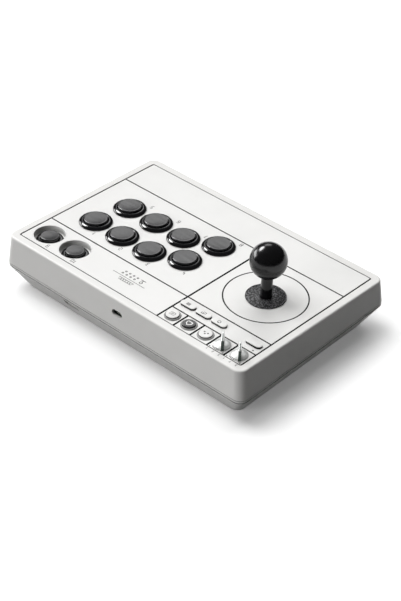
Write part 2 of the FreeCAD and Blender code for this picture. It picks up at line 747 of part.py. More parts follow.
def make_well_cups():
    cups = []
    for u, v in wells():
        cup = disc(u, v, WELL_RADIUS, -WELL_DEPTH - WELL_FLOOR, 0)
        cup = cup.cut(disc(u, v, WELL_RADIUS - WELL_WALL, -WELL_DEPTH, 1))
        cup = cup.cut(disc(u, v, SMALL_HOLE_RADIUS, -WELL_DEPTH - WELL_FLOOR - 1, 0))
        cups.append(on_panel(cup))
    return Part.makeCompound(cups)


def make_small_housing(u, v):
    radius = SMALL_HOLE_RADIUS + SMALL_OVERLAP
    top = -WELL_DEPTH + SMALL_FLANGE_HEIGHT
    body = disc(u, v, radius, -WELL_DEPTH, top)
    body = round_circle_edges(body, radius, top, SMALL_FLANGE_ROUNDING)
    body = body.fuse(disc(u, v, SMALL_TUBE_RADIUS, SMALL_TUBE_FOOT, -WELL_DEPTH))
    body = body.cut(disc(u, v, SMALL_BORE, SMALL_TUBE_FOOT + HOUSING_BASE, 1))
    return on_panel(body.removeSplitter())


def microswitch(u, v, top):
    """A microswitch body lying crosswise, with two terminals below."""
    half = SWITCH_LENGTH / 2
    foot = top - SWITCH_HEIGHT
    body = block(u - half, u + half, v - SWITCH_WIDTH / 2, v + SWITCH_WIDTH / 2, foot, top)
    thin = TERMINAL_THICKNESS / 2
    legs = []
    for place in TERMINAL_PLACES:
        first = u + place
        legs.append(block(first, first + TERMINAL_WIDTH, v - thin, v + thin, foot - TERMINAL_LENGTH, foot))
    return on_panel(body.fuse(legs))


def make_button_switches():
    solids = [microswitch(u, v, -TUBE_DEPTH) for u, v in large_buttons()]
    solids += [microswitch(u, v, SMALL_TUBE_FOOT) for u, v in wells()]
    return Part.makeCompound(solids)


def make_round_button(u, v):
    cap = disc(u, v, ROUND_RADIUS, -FACE_THICKNESS, ROUND_RISE)
    cap = round_circle_edges(cap, ROUND_RADIUS, ROUND_RISE, KEY_EDGE_RADIUS)
    return on_panel(cap.fuse(disc(u, v, STEM_RADIUS, -STEM_DEPTH, -FACE_THICKNESS)))


def make_pill_button(u, v):
    cap = slot(u, v, PILL_LENGTH, PILL_WIDTH, -FACE_THICKNESS, PILL_RISE)
    cap = round_level_edges(cap, PILL_RISE, KEY_EDGE_RADIUS)
    return on_panel(cap.fuse(disc(u, v, STEM_RADIUS, -STEM_DEPTH, -FACE_THICKNESS)))


def make_knob(u, v):
    """Round foot with an upright bar whose nose reaches past the rim, and the shaft below."""
    foot = disc(0, 0, KNOB_RADIUS, KNOB_LIFT, KNOB_LIFT + KNOB_BASE)
    foot = round_circle_edges(foot, KNOB_RADIUS, KNOB_LIFT + KNOB_BASE, KNOB_FOOT_ROUNDING)
    tail = KNOB_BAR_SHIFT - KNOB_BAR_LENGTH / 2
    nose = KNOB_BAR_SHIFT + KNOB_BAR_LENGTH / 2
    bar = block(-KNOB_BAR / 2, KNOB_BAR / 2, tail, nose, KNOB_LIFT, KNOB_HEIGHT)
    upright = [e for e in bar.Edges if e.BoundBox.ZLength > 1]
    bar = bar.makeFillet(KNOB_BAR_ROUNDING, upright)
    shaft = disc(0, 0, KNOB_SHAFT_RADIUS, -FACE_THICKNESS - SELECTOR_HEIGHT, KNOB_LIFT + 1)
    knob = foot.fuse([bar, shaft]).removeSplitter()
    knob.rotate(Vector(0, 0, 0), Vector(0, 0, 1), KNOB_ANGLE)
    knob.translate(Vector(u, v, 0))
    return on_panel(knob)


def make_control_board():
    left = -FACE_HALF + POCKET_SIDE + POCKET_ROOM
    front = BACK_LINE + BOARD_MARGIN
    foot = -BOARD_DEPTH - BOARD_THICKNESS
    return on_panel(block(left, BLOCK_EDGE - 1, front, FACE_BACK - BOARD_MARGIN, foot, -BOARD_DEPTH))


def make_control_switches():
    """Seven tactile switches and two rotary selector bodies standing on the control board."""
    solids = []
    foot = -BOARD_DEPTH
    for u, v in round_buttons() + pills():
        half = TACT_SIDE / 2
        solids.append(on_panel(block(u - half, u + half, v - half, v + half, foot, foot + TACT_HEIGHT)))
    for u, v in knobs():
        half = SELECTOR_SIDE / 2
        body = block(u - half, u + half, v - half, v + half, foot, foot + SELECTOR_HEIGHT)
        shaft_end = -FACE_THICKNESS - SELECTOR_HEIGHT
        bore = disc(u, v, KNOB_SHAFT_RADIUS + RUNNING_CLEARANCE, shaft_end - 0.5, 0)
        solids.append(on_panel(body.cut(bore)))
    return Part.makeCompound(solids)


def make_status_led():
    lens = slot(*led_place(), LED_LENGTH, LED_WIDTH, -BOARD_DEPTH, 0)
    return on_panel(lens)


def board_bottom():
    return PORT_HEIGHT - SOCKET_WIDTH / 2 - BOARD_THICKNESS


def make_main_board():
    back = back_of_board()
    top = board_bottom() + BOARD_THICKNESS
    board = block(-BOARD_LENGTH / 2, BOARD_LENGTH / 2, back - BOARD_REACH, back, board_bottom(), top)
    chips = []
    for x0, x1, y0, y1, height in CHIPS:
        chips.append(block(x0, x1, back - y0, back - y1, top - 0.1, top + height))
    return board.fuse(chips)


def make_usb_port():
    """The metal shell of a small reversible socket with its tongue."""
    front = back_of_board()
    shell = port_hole(SOCKET_LENGTH, SOCKET_WIDTH, front - SOCKET_DEPTH, front)
    rear = front - SOCKET_DEPTH
    inner_length = SOCKET_LENGTH - 2 * SOCKET_SHELL
    inner = port_hole(inner_length, SOCKET_WIDTH - 2 * SOCKET_SHELL, rear + 1, front + 1)
    thin = TONGUE_THICKNESS / 2
    tongue = block(
        PORT_X - TONGUE_HALF, PORT_X + TONGUE_HALF, rear + 0.5, front - TONGUE_INSET,
        PORT_HEIGHT - thin, PORT_HEIGHT + thin,
    )
    return shell.cut(inner).fuse(tongue)


def make_battery():
    length, depth, height = BATTERY_SIZE
    x = -WIDTH / 2 + BATTERY_FROM_SIDE
    y = DEPTH / 2 - BATTERY_FROM_BACK
    return rounded_block(x, x + length, y, y + depth, BATTERY_ROUNDING, FLOOR_TOP, FLOOR_TOP + height)


def make_stick_bracket():
    """A plate on four short legs under the steel plate."""
    plate = block(-BRACKET_HALF_U, BRACKET_HALF_U, -BRACKET_HALF_V, BRACKET_HALF_V, BODY_TOP, BRACKET_TOP)
    legs = []
    for u, v in bracket_screws():
        legs.append(block(u - LEG / 2, u + LEG / 2, v - LEG / 2, v + LEG / 2, BODY_TOP, PLATE_BOTTOM))
    bracket = plate.fuse(legs).cut(disc(0, 0, RING_OUTER, BODY_TOP - 1, BRACKET_TOP + 1))
    holes = [disc(u, v, SCREW_RADIUS + 0.1, BODY_TOP - 1, 0) for u, v in bracket_screws()]
    return on_stick(bracket.cut(holes).removeSplitter())


def make_stick_body():
    """A box open below, with two bearing blocks for the ring's trunnions."""
    inner = BODY_HALF - BODY_WALL
    box = block(-BODY_HALF, BODY_HALF, -BODY_HALF, BODY_HALF, BODY_BOTTOM, BODY_TOP)
    box = box.cut(block(-inner, inner, -inner, inner, BODY_BOTTOM - 1, BODY_TOP - BODY_ROOF))
    blocks = []
    deep = BEARING_HALF
    for side in (-1, 1):
        near = side * (RING_OUTER + BEARING_GAP)
        far = side * (inner + BODY_WALL / 2)
        blocks.append(block(min(near, far), max(near, far), -deep, deep, PIVOT_W - deep, BODY_TOP - 1))
    box = box.fuse(blocks).cut(disc(0, 0, RING_OUTER, BODY_TOP - 3, BODY_TOP + 1))
    radius = TRUNNION_RADIUS + RUNNING_CLEARANCE
    reach = TRUNNION_REACH + TRUNNION_END_ROOM
    bore = Part.makeCylinder(radius, 2 * reach, Vector(-reach, 0, PIVOT_W), Vector(1, 0, 0))
    return on_stick(box.cut(bore).removeSplitter())


def make_gimbal_ring():
    half = RING_THICKNESS / 2
    ring = disc(0, 0, RING_OUTER, PIVOT_W - half, PIVOT_W + half)
    end = Vector(-TRUNNION_REACH, 0, PIVOT_W)
    pins = Part.makeCylinder(TRUNNION_RADIUS, 2 * TRUNNION_REACH, end, Vector(1, 0, 0))
    ring = ring.fuse(pins).cut(disc(0, 0, RING_INNER, PIVOT_W - half - 1, PIVOT_W + half + 1))
    radius = PIN_RADIUS + RUNNING_CLEARANCE
    bore = Part.makeCylinder(radius, 2 * RING_OUTER + 2, Vector(0, -RING_OUTER - 1, PIVOT_W), Vector(0, 1, 0))
    return on_stick(ring.cut(bore).removeSplitter())


def make_cross_pin():
    length = 2 * RING_OUTER - PIN_SHORTER
    return on_stick(Part.makeCylinder(PIN_RADIUS, length, Vector(0, -length / 2, PIVOT_W), Vector(0, 1, 0)))


def ball_foot():
    """Height of the flat on the underside of the ball."""
    return BALL_HEIGHT - math.sqrt(BALL_RADIUS ** 2 - BALL_FLAT_RADIUS ** 2)


def thread_top():
    return BALL_HEIGHT + THREAD_LENGTH_PAST_CENTRE


def shaft_end():
    return GATE_BOTTOM - SHAFT_PAST_GATE


def make_shaft():
    rod = disc(0, 0, STEM_ROD_RADIUS, shaft_end(), ball_foot())
    rod = rod.fuse(disc(0, 0, THREAD_RADIUS, ball_foot(), thread_top()))
    collar_top = PIVOT_W - COLLAR_DROP
    rod = rod.fuse(disc(0, 0, COLLAR_RADIUS, collar_top - COLLAR_HEIGHT, collar_top))
    reach = 2 * STEM_ROD_RADIUS
    pin = Part.makeCylinder(PIN_RADIUS, 2 * reach, Vector(0, -reach, PIVOT_W), Vector(0, 1, 0))
    return on_stick(rod.cut(pin).removeSplitter())


def make_shaft_cover():
    foot = PIVOT_W + RING_THICKNESS / 2 + COVER_FROM_RING
    return on_stick(tube(0, 0, COVER_RADIUS, STEM_ROD_RADIUS, foot, ball_foot()))


def make_ball_top():
    ball = Part.makeSphere(BALL_RADIUS, Vector(0, 0, BALL_HEIGHT))
    half = BALL_RADIUS
    below = block(-half, half, -half, half, BALL_HEIGHT - 2 * half, ball_foot())
    ball = ball.cut(below).cut(disc(0, 0, THREAD_RADIUS, ball_foot() - 1, thread_top()))
    return on_stick(ball)


def make_stick_spring():
    """Compression spring round the shaft, between its collar and the actuator."""
    top = PIVOT_W - COLLAR_DROP - COLLAR_HEIGHT - SPRING_WIRE - 0.1
    foot = ACTUATOR_TOP + SPRING_WIRE + 0.1
    rise = top - foot
    helix = Part.makeHelix(rise / SPRING_TURNS, rise, SPRING_RADIUS)
    start = helix.Edges[0].Vertexes[0].Point
    circle = Part.makeCircle(SPRING_WIRE, start, Vector(0, 1, 0))
    wire = Part.Wire(helix.Edges).makePipeShell([Part.Wire(circle)], True, True)
    wire.translate(Vector(0, 0, foot))
    return on_stick(wire)


def make_actuator():
    sleeve = tube(0, 0, ACTUATOR_RADIUS, STEM_ROD_RADIUS, CLIP_TOP, ACTUATOR_TOP)
    return on_stick(round_circle_edges(sleeve, ACTUATOR_RADIUS, CLIP_TOP, ACTUATOR_ROUNDING))


def make_e_clip():
    ring = tube(0, 0, CLIP_RADIUS, STEM_ROD_RADIUS, CLIP_TOP - CLIP_THICKNESS, CLIP_TOP)
    side = CLIP_MOUTH / 2
    mouth = block(0, CLIP_RADIUS + 1, -side, side, CLIP_TOP - CLIP_THICKNESS - 1, CLIP_TOP + 1)
    return on_stick(ring.cut(mouth))


def make_stick_gate():
    """Square cup under the body, whose opening limits the shaft's swing."""
    inner = BODY_HALF - BODY_WALL
    cup = block(-BODY_HALF, BODY_HALF, -BODY_HALF, BODY_HALF, GATE_BOTTOM, BODY_BOTTOM)
    cup = cup.cut(block(-inner, inner, -inner, inner, GATE_BOTTOM + GATE_PLATE, BODY_BOTTOM + 1))
    opening = GATE_OPENING
    cup = cup.cut(block(-opening, opening, -opening, opening, GATE_BOTTOM - 1, BODY_BOTTOM))
    return on_stick(cup)


def make_stick_switches():
    """Four microswitches facing the actuator from the four sides."""
    solids = []
    foot = CLIP_TOP + STICK_SWITCH_LIFT
    half = STICK_SWITCH_HALF
    for quarter in range(4):
        near = STICK_SWITCH_NEAR
        body = block(near, near + STICK_SWITCH_DEPTH, -half, half, foot, foot + STICK_SWITCH_RISE)
        nub = block(near - NUB_REACH, near + 1, -NUB_HALF, NUB_HALF, foot + NUB_FOOT, foot + NUB_TOP)
        switch = body.fuse(nub)
        switch.rotate(Vector(0, 0, 0), Vector(0, 0, 1), 90 * quarter)
        solids.append(on_stick(switch))
    return Part.makeCompound(solids)


def make_dust_washer():
    foot = WASHER_LIFT
    hole = COVER_RADIUS + WASHER_CLEARANCE
    washer = tube(0, 0, WASHER_RADIUS, hole, foot, foot + WASHER_THICKNESS)
    washer = round_circle_edges(washer, WASHER_RADIUS, foot + WASHER_THICKNESS, WASHER_ROUNDING)
    return on_stick(washer)


def make_under_washer():
    """Inner washer with a slotted hole, long the way in which only the outer washer moves."""
    top = PLATE_BOTTOM - WASHER_LIFT
    lift = PIVOT_DEPTH + WASHER_LIFT + WASHER_THICKNESS / 2
    own = PIVOT_DEPTH + top
    lag = (lift - own) * math.tan(SWING)
    wide = COVER_RADIUS + lag + WASHER_CLEARANCE
    tall = COVER_RADIUS + PIVOT_DEPTH * math.tan(SWING) + WASHER_CLEARANCE
    washer = disc(0, 0, UNDER_WASHER_RADIUS, top - WASHER_THICKNESS, top)
    return on_stick(washer.cut(block(-wide, wide, -tall, tall, top - WASHER_THICKNESS - 1, top + 1)))


def dongle_back():
    return bay_mouth() - DONGLE_SINK


def make_dongle_body():
    back = dongle_back()
    half_x = DONGLE_WIDTH / 2
    half_z = DONGLE_THICKNESS / 2
    front = back - DONGLE_LENGTH
    body = block(BAY_X - half_x, BAY_X + half_x, front, back, BAY_HEIGHT - half_z, BAY_HEIGHT + half_z)
    long_edges = [e for e in body.Edges if e.BoundBox.YLength > 1]
    return body.makeFillet(DONGLE_ROUNDING, long_edges)


def make_dongle_plug():
    """Rectangular metal plug with its insulating tongue and two latch windows."""
    front = dongle_back() - DONGLE_LENGTH
    tip = front - PLUG_LENGTH
    half_x = PLUG_WIDTH / 2
    half_z = PLUG_THICKNESS / 2
    plug = block(BAY_X - half_x, BAY_X + half_x, tip, front, BAY_HEIGHT - half_z, BAY_HEIGHT + half_z)
    inner_x = half_x - PLUG_WALL
    inner_z = half_z - PLUG_WALL
    low = BAY_HEIGHT - inner_z
    high = BAY_HEIGHT + inner_z
    hollow = block(BAY_X - inner_x, BAY_X + inner_x, tip - 1, front - PLUG_SOLID, low, high)
    tongue = block(BAY_X - inner_x, BAY_X + inner_x, tip + TONGUE_SETBACK, front - 1, low, BAY_HEIGHT)
    windows = []
    for side in (-1, 1):
        x0 = BAY_X + side * PLUG_WIDTH / 4 - WINDOW_HALF
        x1 = x0 + 2 * WINDOW_HALF
        windows.append(block(x0, x1, front - WINDOW_REAR, front - WINDOW_FRONT, high - 0.1, high + 1))
    return plug.cut([hollow] + windows).fuse(tongue).removeSplitter()


def write(name, shape):
    shape.exportStep("parts/" + name + ".step")


def write_numbered(name, places, make):
    for number, (u, v) in enumerate(places, 1):
        write(name + "_" + str(number), make(u, v))


def make_cap(u, v):
    return make_button_cap(u, v, CAP_RADIUS, FLANGE_HEIGHT + CAP_RISE)


def make_small_cap(u, v):
    top = -WELL_DEPTH + SMALL_FLANGE_HEIGHT + SMALL_CAP_RISE
    return make_button_cap(u, v, SMALL_BORE - CAP_CLEARANCE, top)


os.makedirs("parts", exist_ok=True)
write("top_shell", make_top_shell())
write("faceplate", make_faceplate())
write("mounting_plate", make_mounting_plate())
write("bottom_shell", make_bottom_shell())
write("ballast_plate", make_ballast_plate())
write("rubber_mat", mat_block(0))
write("screws", make_screws())
write("main_board", make_main_board())
write("usb_port", make_usb_port())
write("battery", make_battery())
write("control_board", make_control_board())
write("control_switches", make_control_switches())
write("status_led", make_status_led())
write("well_cups", make_well_cups())
write("button_switches", make_button_switches())
write_numbered("button_housing", large_buttons(), make_button_housing)
write_numbered("button_cap", large_buttons(), make_cap)
write_numbered("small_housing", wells(), make_small_housing)
write_numbered("small_cap", wells(), make_small_cap)
write_numbered("round_button", round_buttons(), make_round_button)
write_numbered("pill_button", pills(), make_pill_button)
write_numbered("selector_knob", knobs(), make_knob)
write("stick_bracket", make_stick_bracket())
write("stick_body", make_stick_body())
write("stick_gate", make_stick_gate())
write("stick_switches", make_stick_switches())
write("gimbal_ring", make_gimbal_ring())
write("cross_pin", make_cross_pin())
write("shaft", make_shaft())
write("shaft_cover", make_shaft_cover())
write("ball_top", make_ball_top())
write("stick_spring", make_stick_spring())
write("actuator", make_actuator())
write("e_clip", make_e_clip())
write("dust_washer", make_dust_washer())
write("under_washer", make_under_washer())
write("dongle_body", make_dongle_body())
write("dongle_plug", make_dongle_plug())
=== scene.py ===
import json
import math

import bmesh
import bpy
from mathutils import Matrix, Vector


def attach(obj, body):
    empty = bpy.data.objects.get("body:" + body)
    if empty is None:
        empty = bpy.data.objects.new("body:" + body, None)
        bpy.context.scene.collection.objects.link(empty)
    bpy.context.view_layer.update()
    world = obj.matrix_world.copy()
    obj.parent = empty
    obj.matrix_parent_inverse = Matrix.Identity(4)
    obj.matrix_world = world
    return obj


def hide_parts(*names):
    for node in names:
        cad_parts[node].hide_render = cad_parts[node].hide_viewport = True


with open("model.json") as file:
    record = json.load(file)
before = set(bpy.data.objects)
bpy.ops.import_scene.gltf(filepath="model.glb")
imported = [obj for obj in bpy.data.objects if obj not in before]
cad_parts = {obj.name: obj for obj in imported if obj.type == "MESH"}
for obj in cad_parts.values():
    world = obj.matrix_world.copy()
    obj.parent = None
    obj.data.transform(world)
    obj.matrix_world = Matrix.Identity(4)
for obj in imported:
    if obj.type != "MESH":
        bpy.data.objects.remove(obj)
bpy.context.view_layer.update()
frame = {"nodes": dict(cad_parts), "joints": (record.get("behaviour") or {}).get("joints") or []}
NODES = frame["nodes"]
JOINTS = {joint["name"]: joint for joint in frame["joints"]}
MM = 0.001

# The panel's own frame: u to the player's right, v away from the player, w out of the panel.
PRESS = Vector(JOINTS["button_cap_1_press"]["axis"]).normalized()
PANEL_W = -PRESS
PANEL_U = Vector((1, 0, 0))
PANEL_V = PANEL_W.cross(PANEL_U).normalized()
PANEL_POINT = Vector(JOINTS["selector_knob_1_turn"]["pos_m"])
PANEL_ORIGIN = Vector((0, 0, PANEL_POINT.dot(PANEL_W) / PANEL_W.z))


def at(u, v, w):
    """A place on the panel, given in millimetres."""
    return PANEL_ORIGIN + MM * (u * PANEL_U + v * PANEL_V + w * PANEL_W)


def panel_frame(u, v):
    """The turn and shift that stand a piece, drawn in metres about its own axis, on the panel."""
    turn = Matrix((PANEL_U, PANEL_V, PANEL_W)).transposed().to_4x4()
    return Matrix.Translation(at(u, v, 0)) @ turn


def extent(node):
    """Lowest and highest u, v and w of a CAD node, in millimetres."""
    places = [vert.co - PANEL_ORIGIN for vert in NODES[node].data.vertices]
    spans = []
    for axis in (PANEL_U, PANEL_V, PANEL_W):
        along = [place.dot(axis) / MM for place in places]
        spans.append((min(along), max(along)))
    return spans


def middle(node):
    """A CAD node's middle on the panel, as (u, v) in millimetres."""
    (u0, u1), (v0, v1), _ = extent(node)
    return (u0 + u1) / 2, (v0 + v1) / 2


def half_width(node):
    (u0, u1), _, _ = extent(node)
    return (u1 - u0) / 2


def top_of(node):
    return extent(node)[2][1]


def knob_pivot(node):
    """Where a selector knob turns on the panel, as (u, v) in millimetres."""
    pivot = Vector(JOINTS["%s_turn" % node]["pos_m"]) - PANEL_ORIGIN
    return pivot.dot(PANEL_U) / MM, pivot.dot(PANEL_V) / MM


# ---------------------------------------------------------------- camera and light

CAMERA_PLACE = (-0.821403, 0.901777, 0.943879)
CAMERA_AZIMUTH = math.radians(221.967)
CAMERA_ELEVATION = math.radians(37.658)
CAMERA_ROLL = math.radians(1.178)
LENS_MM = 95.588
SENSOR_MM = 36
VIEW_END = 20


def set_camera():
    """Stands the camera where the photograph was taken from."""
    back = Vector((
        math.sin(CAMERA_AZIMUTH) * math.cos(CAMERA_ELEVATION),
        -math.cos(CAMERA_AZIMUTH) * math.cos(CAMERA_ELEVATION),
        math.sin(CAMERA_ELEVATION),
    ))
    right = (-back).cross(Vector((0, 0, 1))).normalized()
    up = right.cross(-back)
    right_rolled = right * math.cos(CAMERA_ROLL) + up * math.sin(CAMERA_ROLL)
    up_rolled = up * math.cos(CAMERA_ROLL) - right * math.sin(CAMERA_ROLL)
    camera = bpy.data.objects.new("camera", bpy.data.cameras.new("camera"))
    camera.data.lens = LENS_MM
    camera.data.sensor_width = SENSOR_MM
    camera.data.clip_end = VIEW_END
    turn = Matrix((right_rolled, up_rolled, back)).transposed().to_4x4()
    camera.matrix_world = Matrix.Translation(CAMERA_PLACE) @ turn
    bpy.context.scene.collection.objects.link(camera)
    bpy.context.scene.camera = camera


WHITE = (1, 1, 1, 1)
HORIZON = (0.12, 0.12, 0.12, 1)
WORLD_STRENGTH = 0.085
LIGHT_AIM = (0, 0, 0.04)
SKY_DISTANCE = 2.0
# Sky lights: name, direction, strength, spread in degrees.
SKY_LIGHTS = (
    ("key", (0.60, 0.10, 1.0), 0.76, 44),
    ("front_key", (0.30, -0.75, 1.0), 0.44, 46),
    ("rear_fill", (0.26, 1.0, 0.27), 0.48, 40),
    ("left_fill", (-1.0, -0.6, 0.14), 0.015, 50),
)
# Softboxes: name, direction, distance, size, glow, shape.
SOFTBOXES = (
    ("key_box", (0.70, -0.06, 0.71), 1.4, (0.70, 0.44), 19, "ELLIPSE"),
    ("side_box", (0.93, 0.25, 0.26), 1.4, (0.9, 0.4), 11, "RECTANGLE"),
    ("front_sheet", (0.53, -0.59, 0.61), 1.8, (0.80, 0.62), 2.3, "ELLIPSE"),
)


def place_light(name, light, direction, distance):
    """Stands a light off the object in a direction, turned to face it and out of the camera's sight."""
    holder = bpy.data.objects.new(name, light)
    way = Vector(direction).normalized()
    holder.location = Vector(LIGHT_AIM) + way * distance
    holder.rotation_euler = way.to_track_quat("Z", "Y").to_euler()
    holder.visible_camera = False
    bpy.context.scene.collection.objects.link(holder)
    return holder


def add_sky_light(name, direction, strength, spread):
    """An even, soft light from one direction, which covers the whole floor and makes no reflections."""
    light = bpy.data.lights.new(name, "SUN")
    light.energy = strength * math.pi
    light.angle = math.radians(spread)
    place_light(name, light, direction, SKY_DISTANCE).visible_glossy = False


def add_softbox(name, direction, distance, size, glow, shape):
    """A softbox that only makes reflections; glow is its brightness."""
    light = bpy.data.lights.new(name, "AREA")
    light.shape = shape
    light.size, light.size_y = size
    light.energy = glow * math.pi * size[0] * size[1]
    place_light(name, light, direction, distance).visible_diffuse = False


def set_world():
    """Dim grey surroundings that brighten upwards, and plain white where the camera looks past the floor."""
    scene = bpy.context.scene
    scene.view_settings.view_transform = "Standard"
    scene.view_settings.look = "None"
    world = bpy.data.worlds.new("studio")
    world.use_nodes = True
    tree = world.node_tree
    coords = tree.nodes.new("ShaderNodeTexCoord")
    split = tree.nodes.new("ShaderNodeSeparateXYZ")
    tree.links.new(coords.outputs["Generated"], split.inputs["Vector"])
    sky = ramp_node(tree, split.outputs["Z"], HORIZON, WHITE, start=-0.1, stop=0.5)
    background = tree.nodes["Background"]
    tree.links.new(sky, background.inputs["Color"])
    background.inputs["Strength"].default_value = WORLD_STRENGTH
    paper = tree.nodes.new("ShaderNodeBackground")
    paper.inputs["Color"].default_value = WHITE
    seen = tree.nodes.new("ShaderNodeLightPath")
    pick = tree.nodes.new("ShaderNodeMixShader")
    tree.links.new(seen.outputs["Is Camera Ray"], pick.inputs["Fac"])
    tree.links.new(background.outputs["Background"], pick.inputs[1])
    tree.links.new(paper.outputs["Background"], pick.inputs[2])
    tree.links.new(pick.outputs["Shader"], tree.nodes["World Output"].inputs["Surface"])
    scene.world = world


def set_lights():
    """Even light for the shading, and softboxes for the highlights in the glossy pieces."""
    for settings in SKY_LIGHTS:
        add_sky_light(*settings)
    for settings in SOFTBOXES:
        add_softbox(*settings)


FLOOR_HALF = 4.0
FLOOR_GLOW = 0.15


def set_floor():
    """A pale sheet of paper with a faint glow of its own; it shows in reflections but lights nothing."""
    half = FLOOR_HALF
    mesh = bpy.data.meshes.new("floor")
    corners = [(-half, -half, 0), (half, -half, 0), (half, half, 0), (-half, half, 0)]
    mesh.from_pydata(corners, [], [(0, 1, 2, 3)])
    floor = bpy.data.objects.new("floor", mesh)
    bpy.context.scene.collection.objects.link(floor)
    look = make_material("floor_paper", (0.95, 0.95, 0.95), vary=0.006, rough=0.9, grain=900, bump=0.02)
    shader = look.node_tree.nodes["Principled BSDF"]
    shader.inputs["Emission Color"].default_value = WHITE
    shader.inputs["Emission Strength"].default_value = FLOOR_GLOW
    mesh.materials.append(look)
    floor.visible_diffuse = False


# ---------------------------------------------------------------- materials

def shade(colour, factor):
    """A colour made darker or lighter, with its alpha."""
    return tuple(min(1.0, c * factor) for c in colour) + (1,)


def noise_node(tree, coords, scale, detail, stretch=None):
    """Noise in the object's own coordinates, drawn out along an axis where stretch asks for it."""
    noise = tree.nodes.new("ShaderNodeTexNoise")
    noise.inputs["Scale"].default_value = scale
    noise.inputs["Detail"].default_value = detail
    if stretch:
        mapping = tree.nodes.new("ShaderNodeMapping")
        mapping.inputs["Scale"].default_value = stretch
        tree.links.new(coords, mapping.inputs["Vector"])
        coords = mapping.outputs["Vector"]
    tree.links.new(coords, noise.inputs["Vector"])
    return noise.outputs["Fac"]


def ramp_node(tree, fac, low, high, start=0.35, stop=0.65):
    """From one colour to another as fac runs from start to stop."""
    ramp = tree.nodes.new("ShaderNodeValToRGB")
    ramp.color_ramp.elements[0].position = start
    ramp.color_ramp.elements[0].color = low
    ramp.color_ramp.elements[1].position = stop
    ramp.color_ramp.elements[1].color = high
    tree.links.new(fac, ramp.inputs["Fac"])
    return ramp.outputs["Color"]


NOISE_LOW, NOISE_HIGH = 0.3, 0.7


def range_node(tree, fac, low, high):
    """From one value to another across the range that noise mostly keeps to."""
    spread = tree.nodes.new("ShaderNodeMapRange")
    spread.inputs["From Min"].default_value = NOISE_LOW
    spread.inputs["From Max"].default_value = NOISE_HIGH
    spread.inputs["To Min"].default_value = low
    spread.inputs["To Max"].default_value = high
    tree.links.new(fac, spread.inputs["Value"])
    return spread.outputs["Result"]


FLECK_DARK = 0.15
FLECK_SHARE = 0.9
LEAST_ROUGH = 0.02


def make_material(name, colour, vary=0.03, patch=40, rough=0.4, rough_vary=0.05, grain=2500, bump=0.05,
                  depth=0.00005, metallic=0.0, stretch=None, grain_stretch=None, coat=0.0, specular=0.5,
                  painted_glints=0.0):
    """Colour patches, uneven gloss and a fine surface grain, with painted glints where asked: pale flecks in
    the colour that stand in for glints off the grain.
    """
    look = bpy.data.materials.new(name)
    look.use_nodes = True
    tree = look.node_tree
    shader = tree.nodes["Principled BSDF"]
    shader.inputs["Metallic"].default_value = metallic
    shader.inputs["Coat Weight"].default_value = coat
    shader.inputs["Specular IOR Level"].default_value = specular
    coords = tree.nodes.new("ShaderNodeTexCoord").outputs["Object"]
    patches = noise_node(tree, coords, patch, detail=4, stretch=stretch)
    tint = ramp_node(tree, patches, shade(colour, 1 - vary), shade(colour, 1 + vary))
    if painted_glints:
        # Painted highlights: pale flecks in the colour stand in for glints off the grain, mixed with darker
        # flecks.
        dots = noise_node(tree, coords, grain, detail=1)
        dark, pale = shade(colour, FLECK_DARK), shade(colour, 1 + painted_glints)
        fleck = ramp_node(tree, dots, dark, pale, start=0.48, stop=0.60)
        mix = tree.nodes.new("ShaderNodeMix")
        mix.data_type = "RGBA"
        mix.inputs["Factor"].default_value = FLECK_SHARE
        tree.links.new(tint, mix.inputs["A"])
        tree.links.new(fleck, mix.inputs["B"])
        tint = mix.outputs["Result"]
    tree.links.new(tint, shader.inputs["Base Color"])
    gloss = noise_node(tree, coords, patch * 3, detail=3, stretch=stretch)
    spread = range_node(tree, gloss, max(LEAST_ROUGH, rough - rough_vary), rough + rough_vary)
    tree.links.new(spread, shader.inputs["Roughness"])
    fine = noise_node(tree, coords, grain, detail=2, stretch=grain_stretch)
    relief = tree.nodes.new("ShaderNodeBump")
    relief.inputs["Strength"].default_value = bump
    relief.inputs["Distance"].default_value = depth
    tree.links.new(fine, relief.inputs["Height"])
    tree.links.new(relief.outputs["Normal"], shader.inputs["Normal"])
    return look


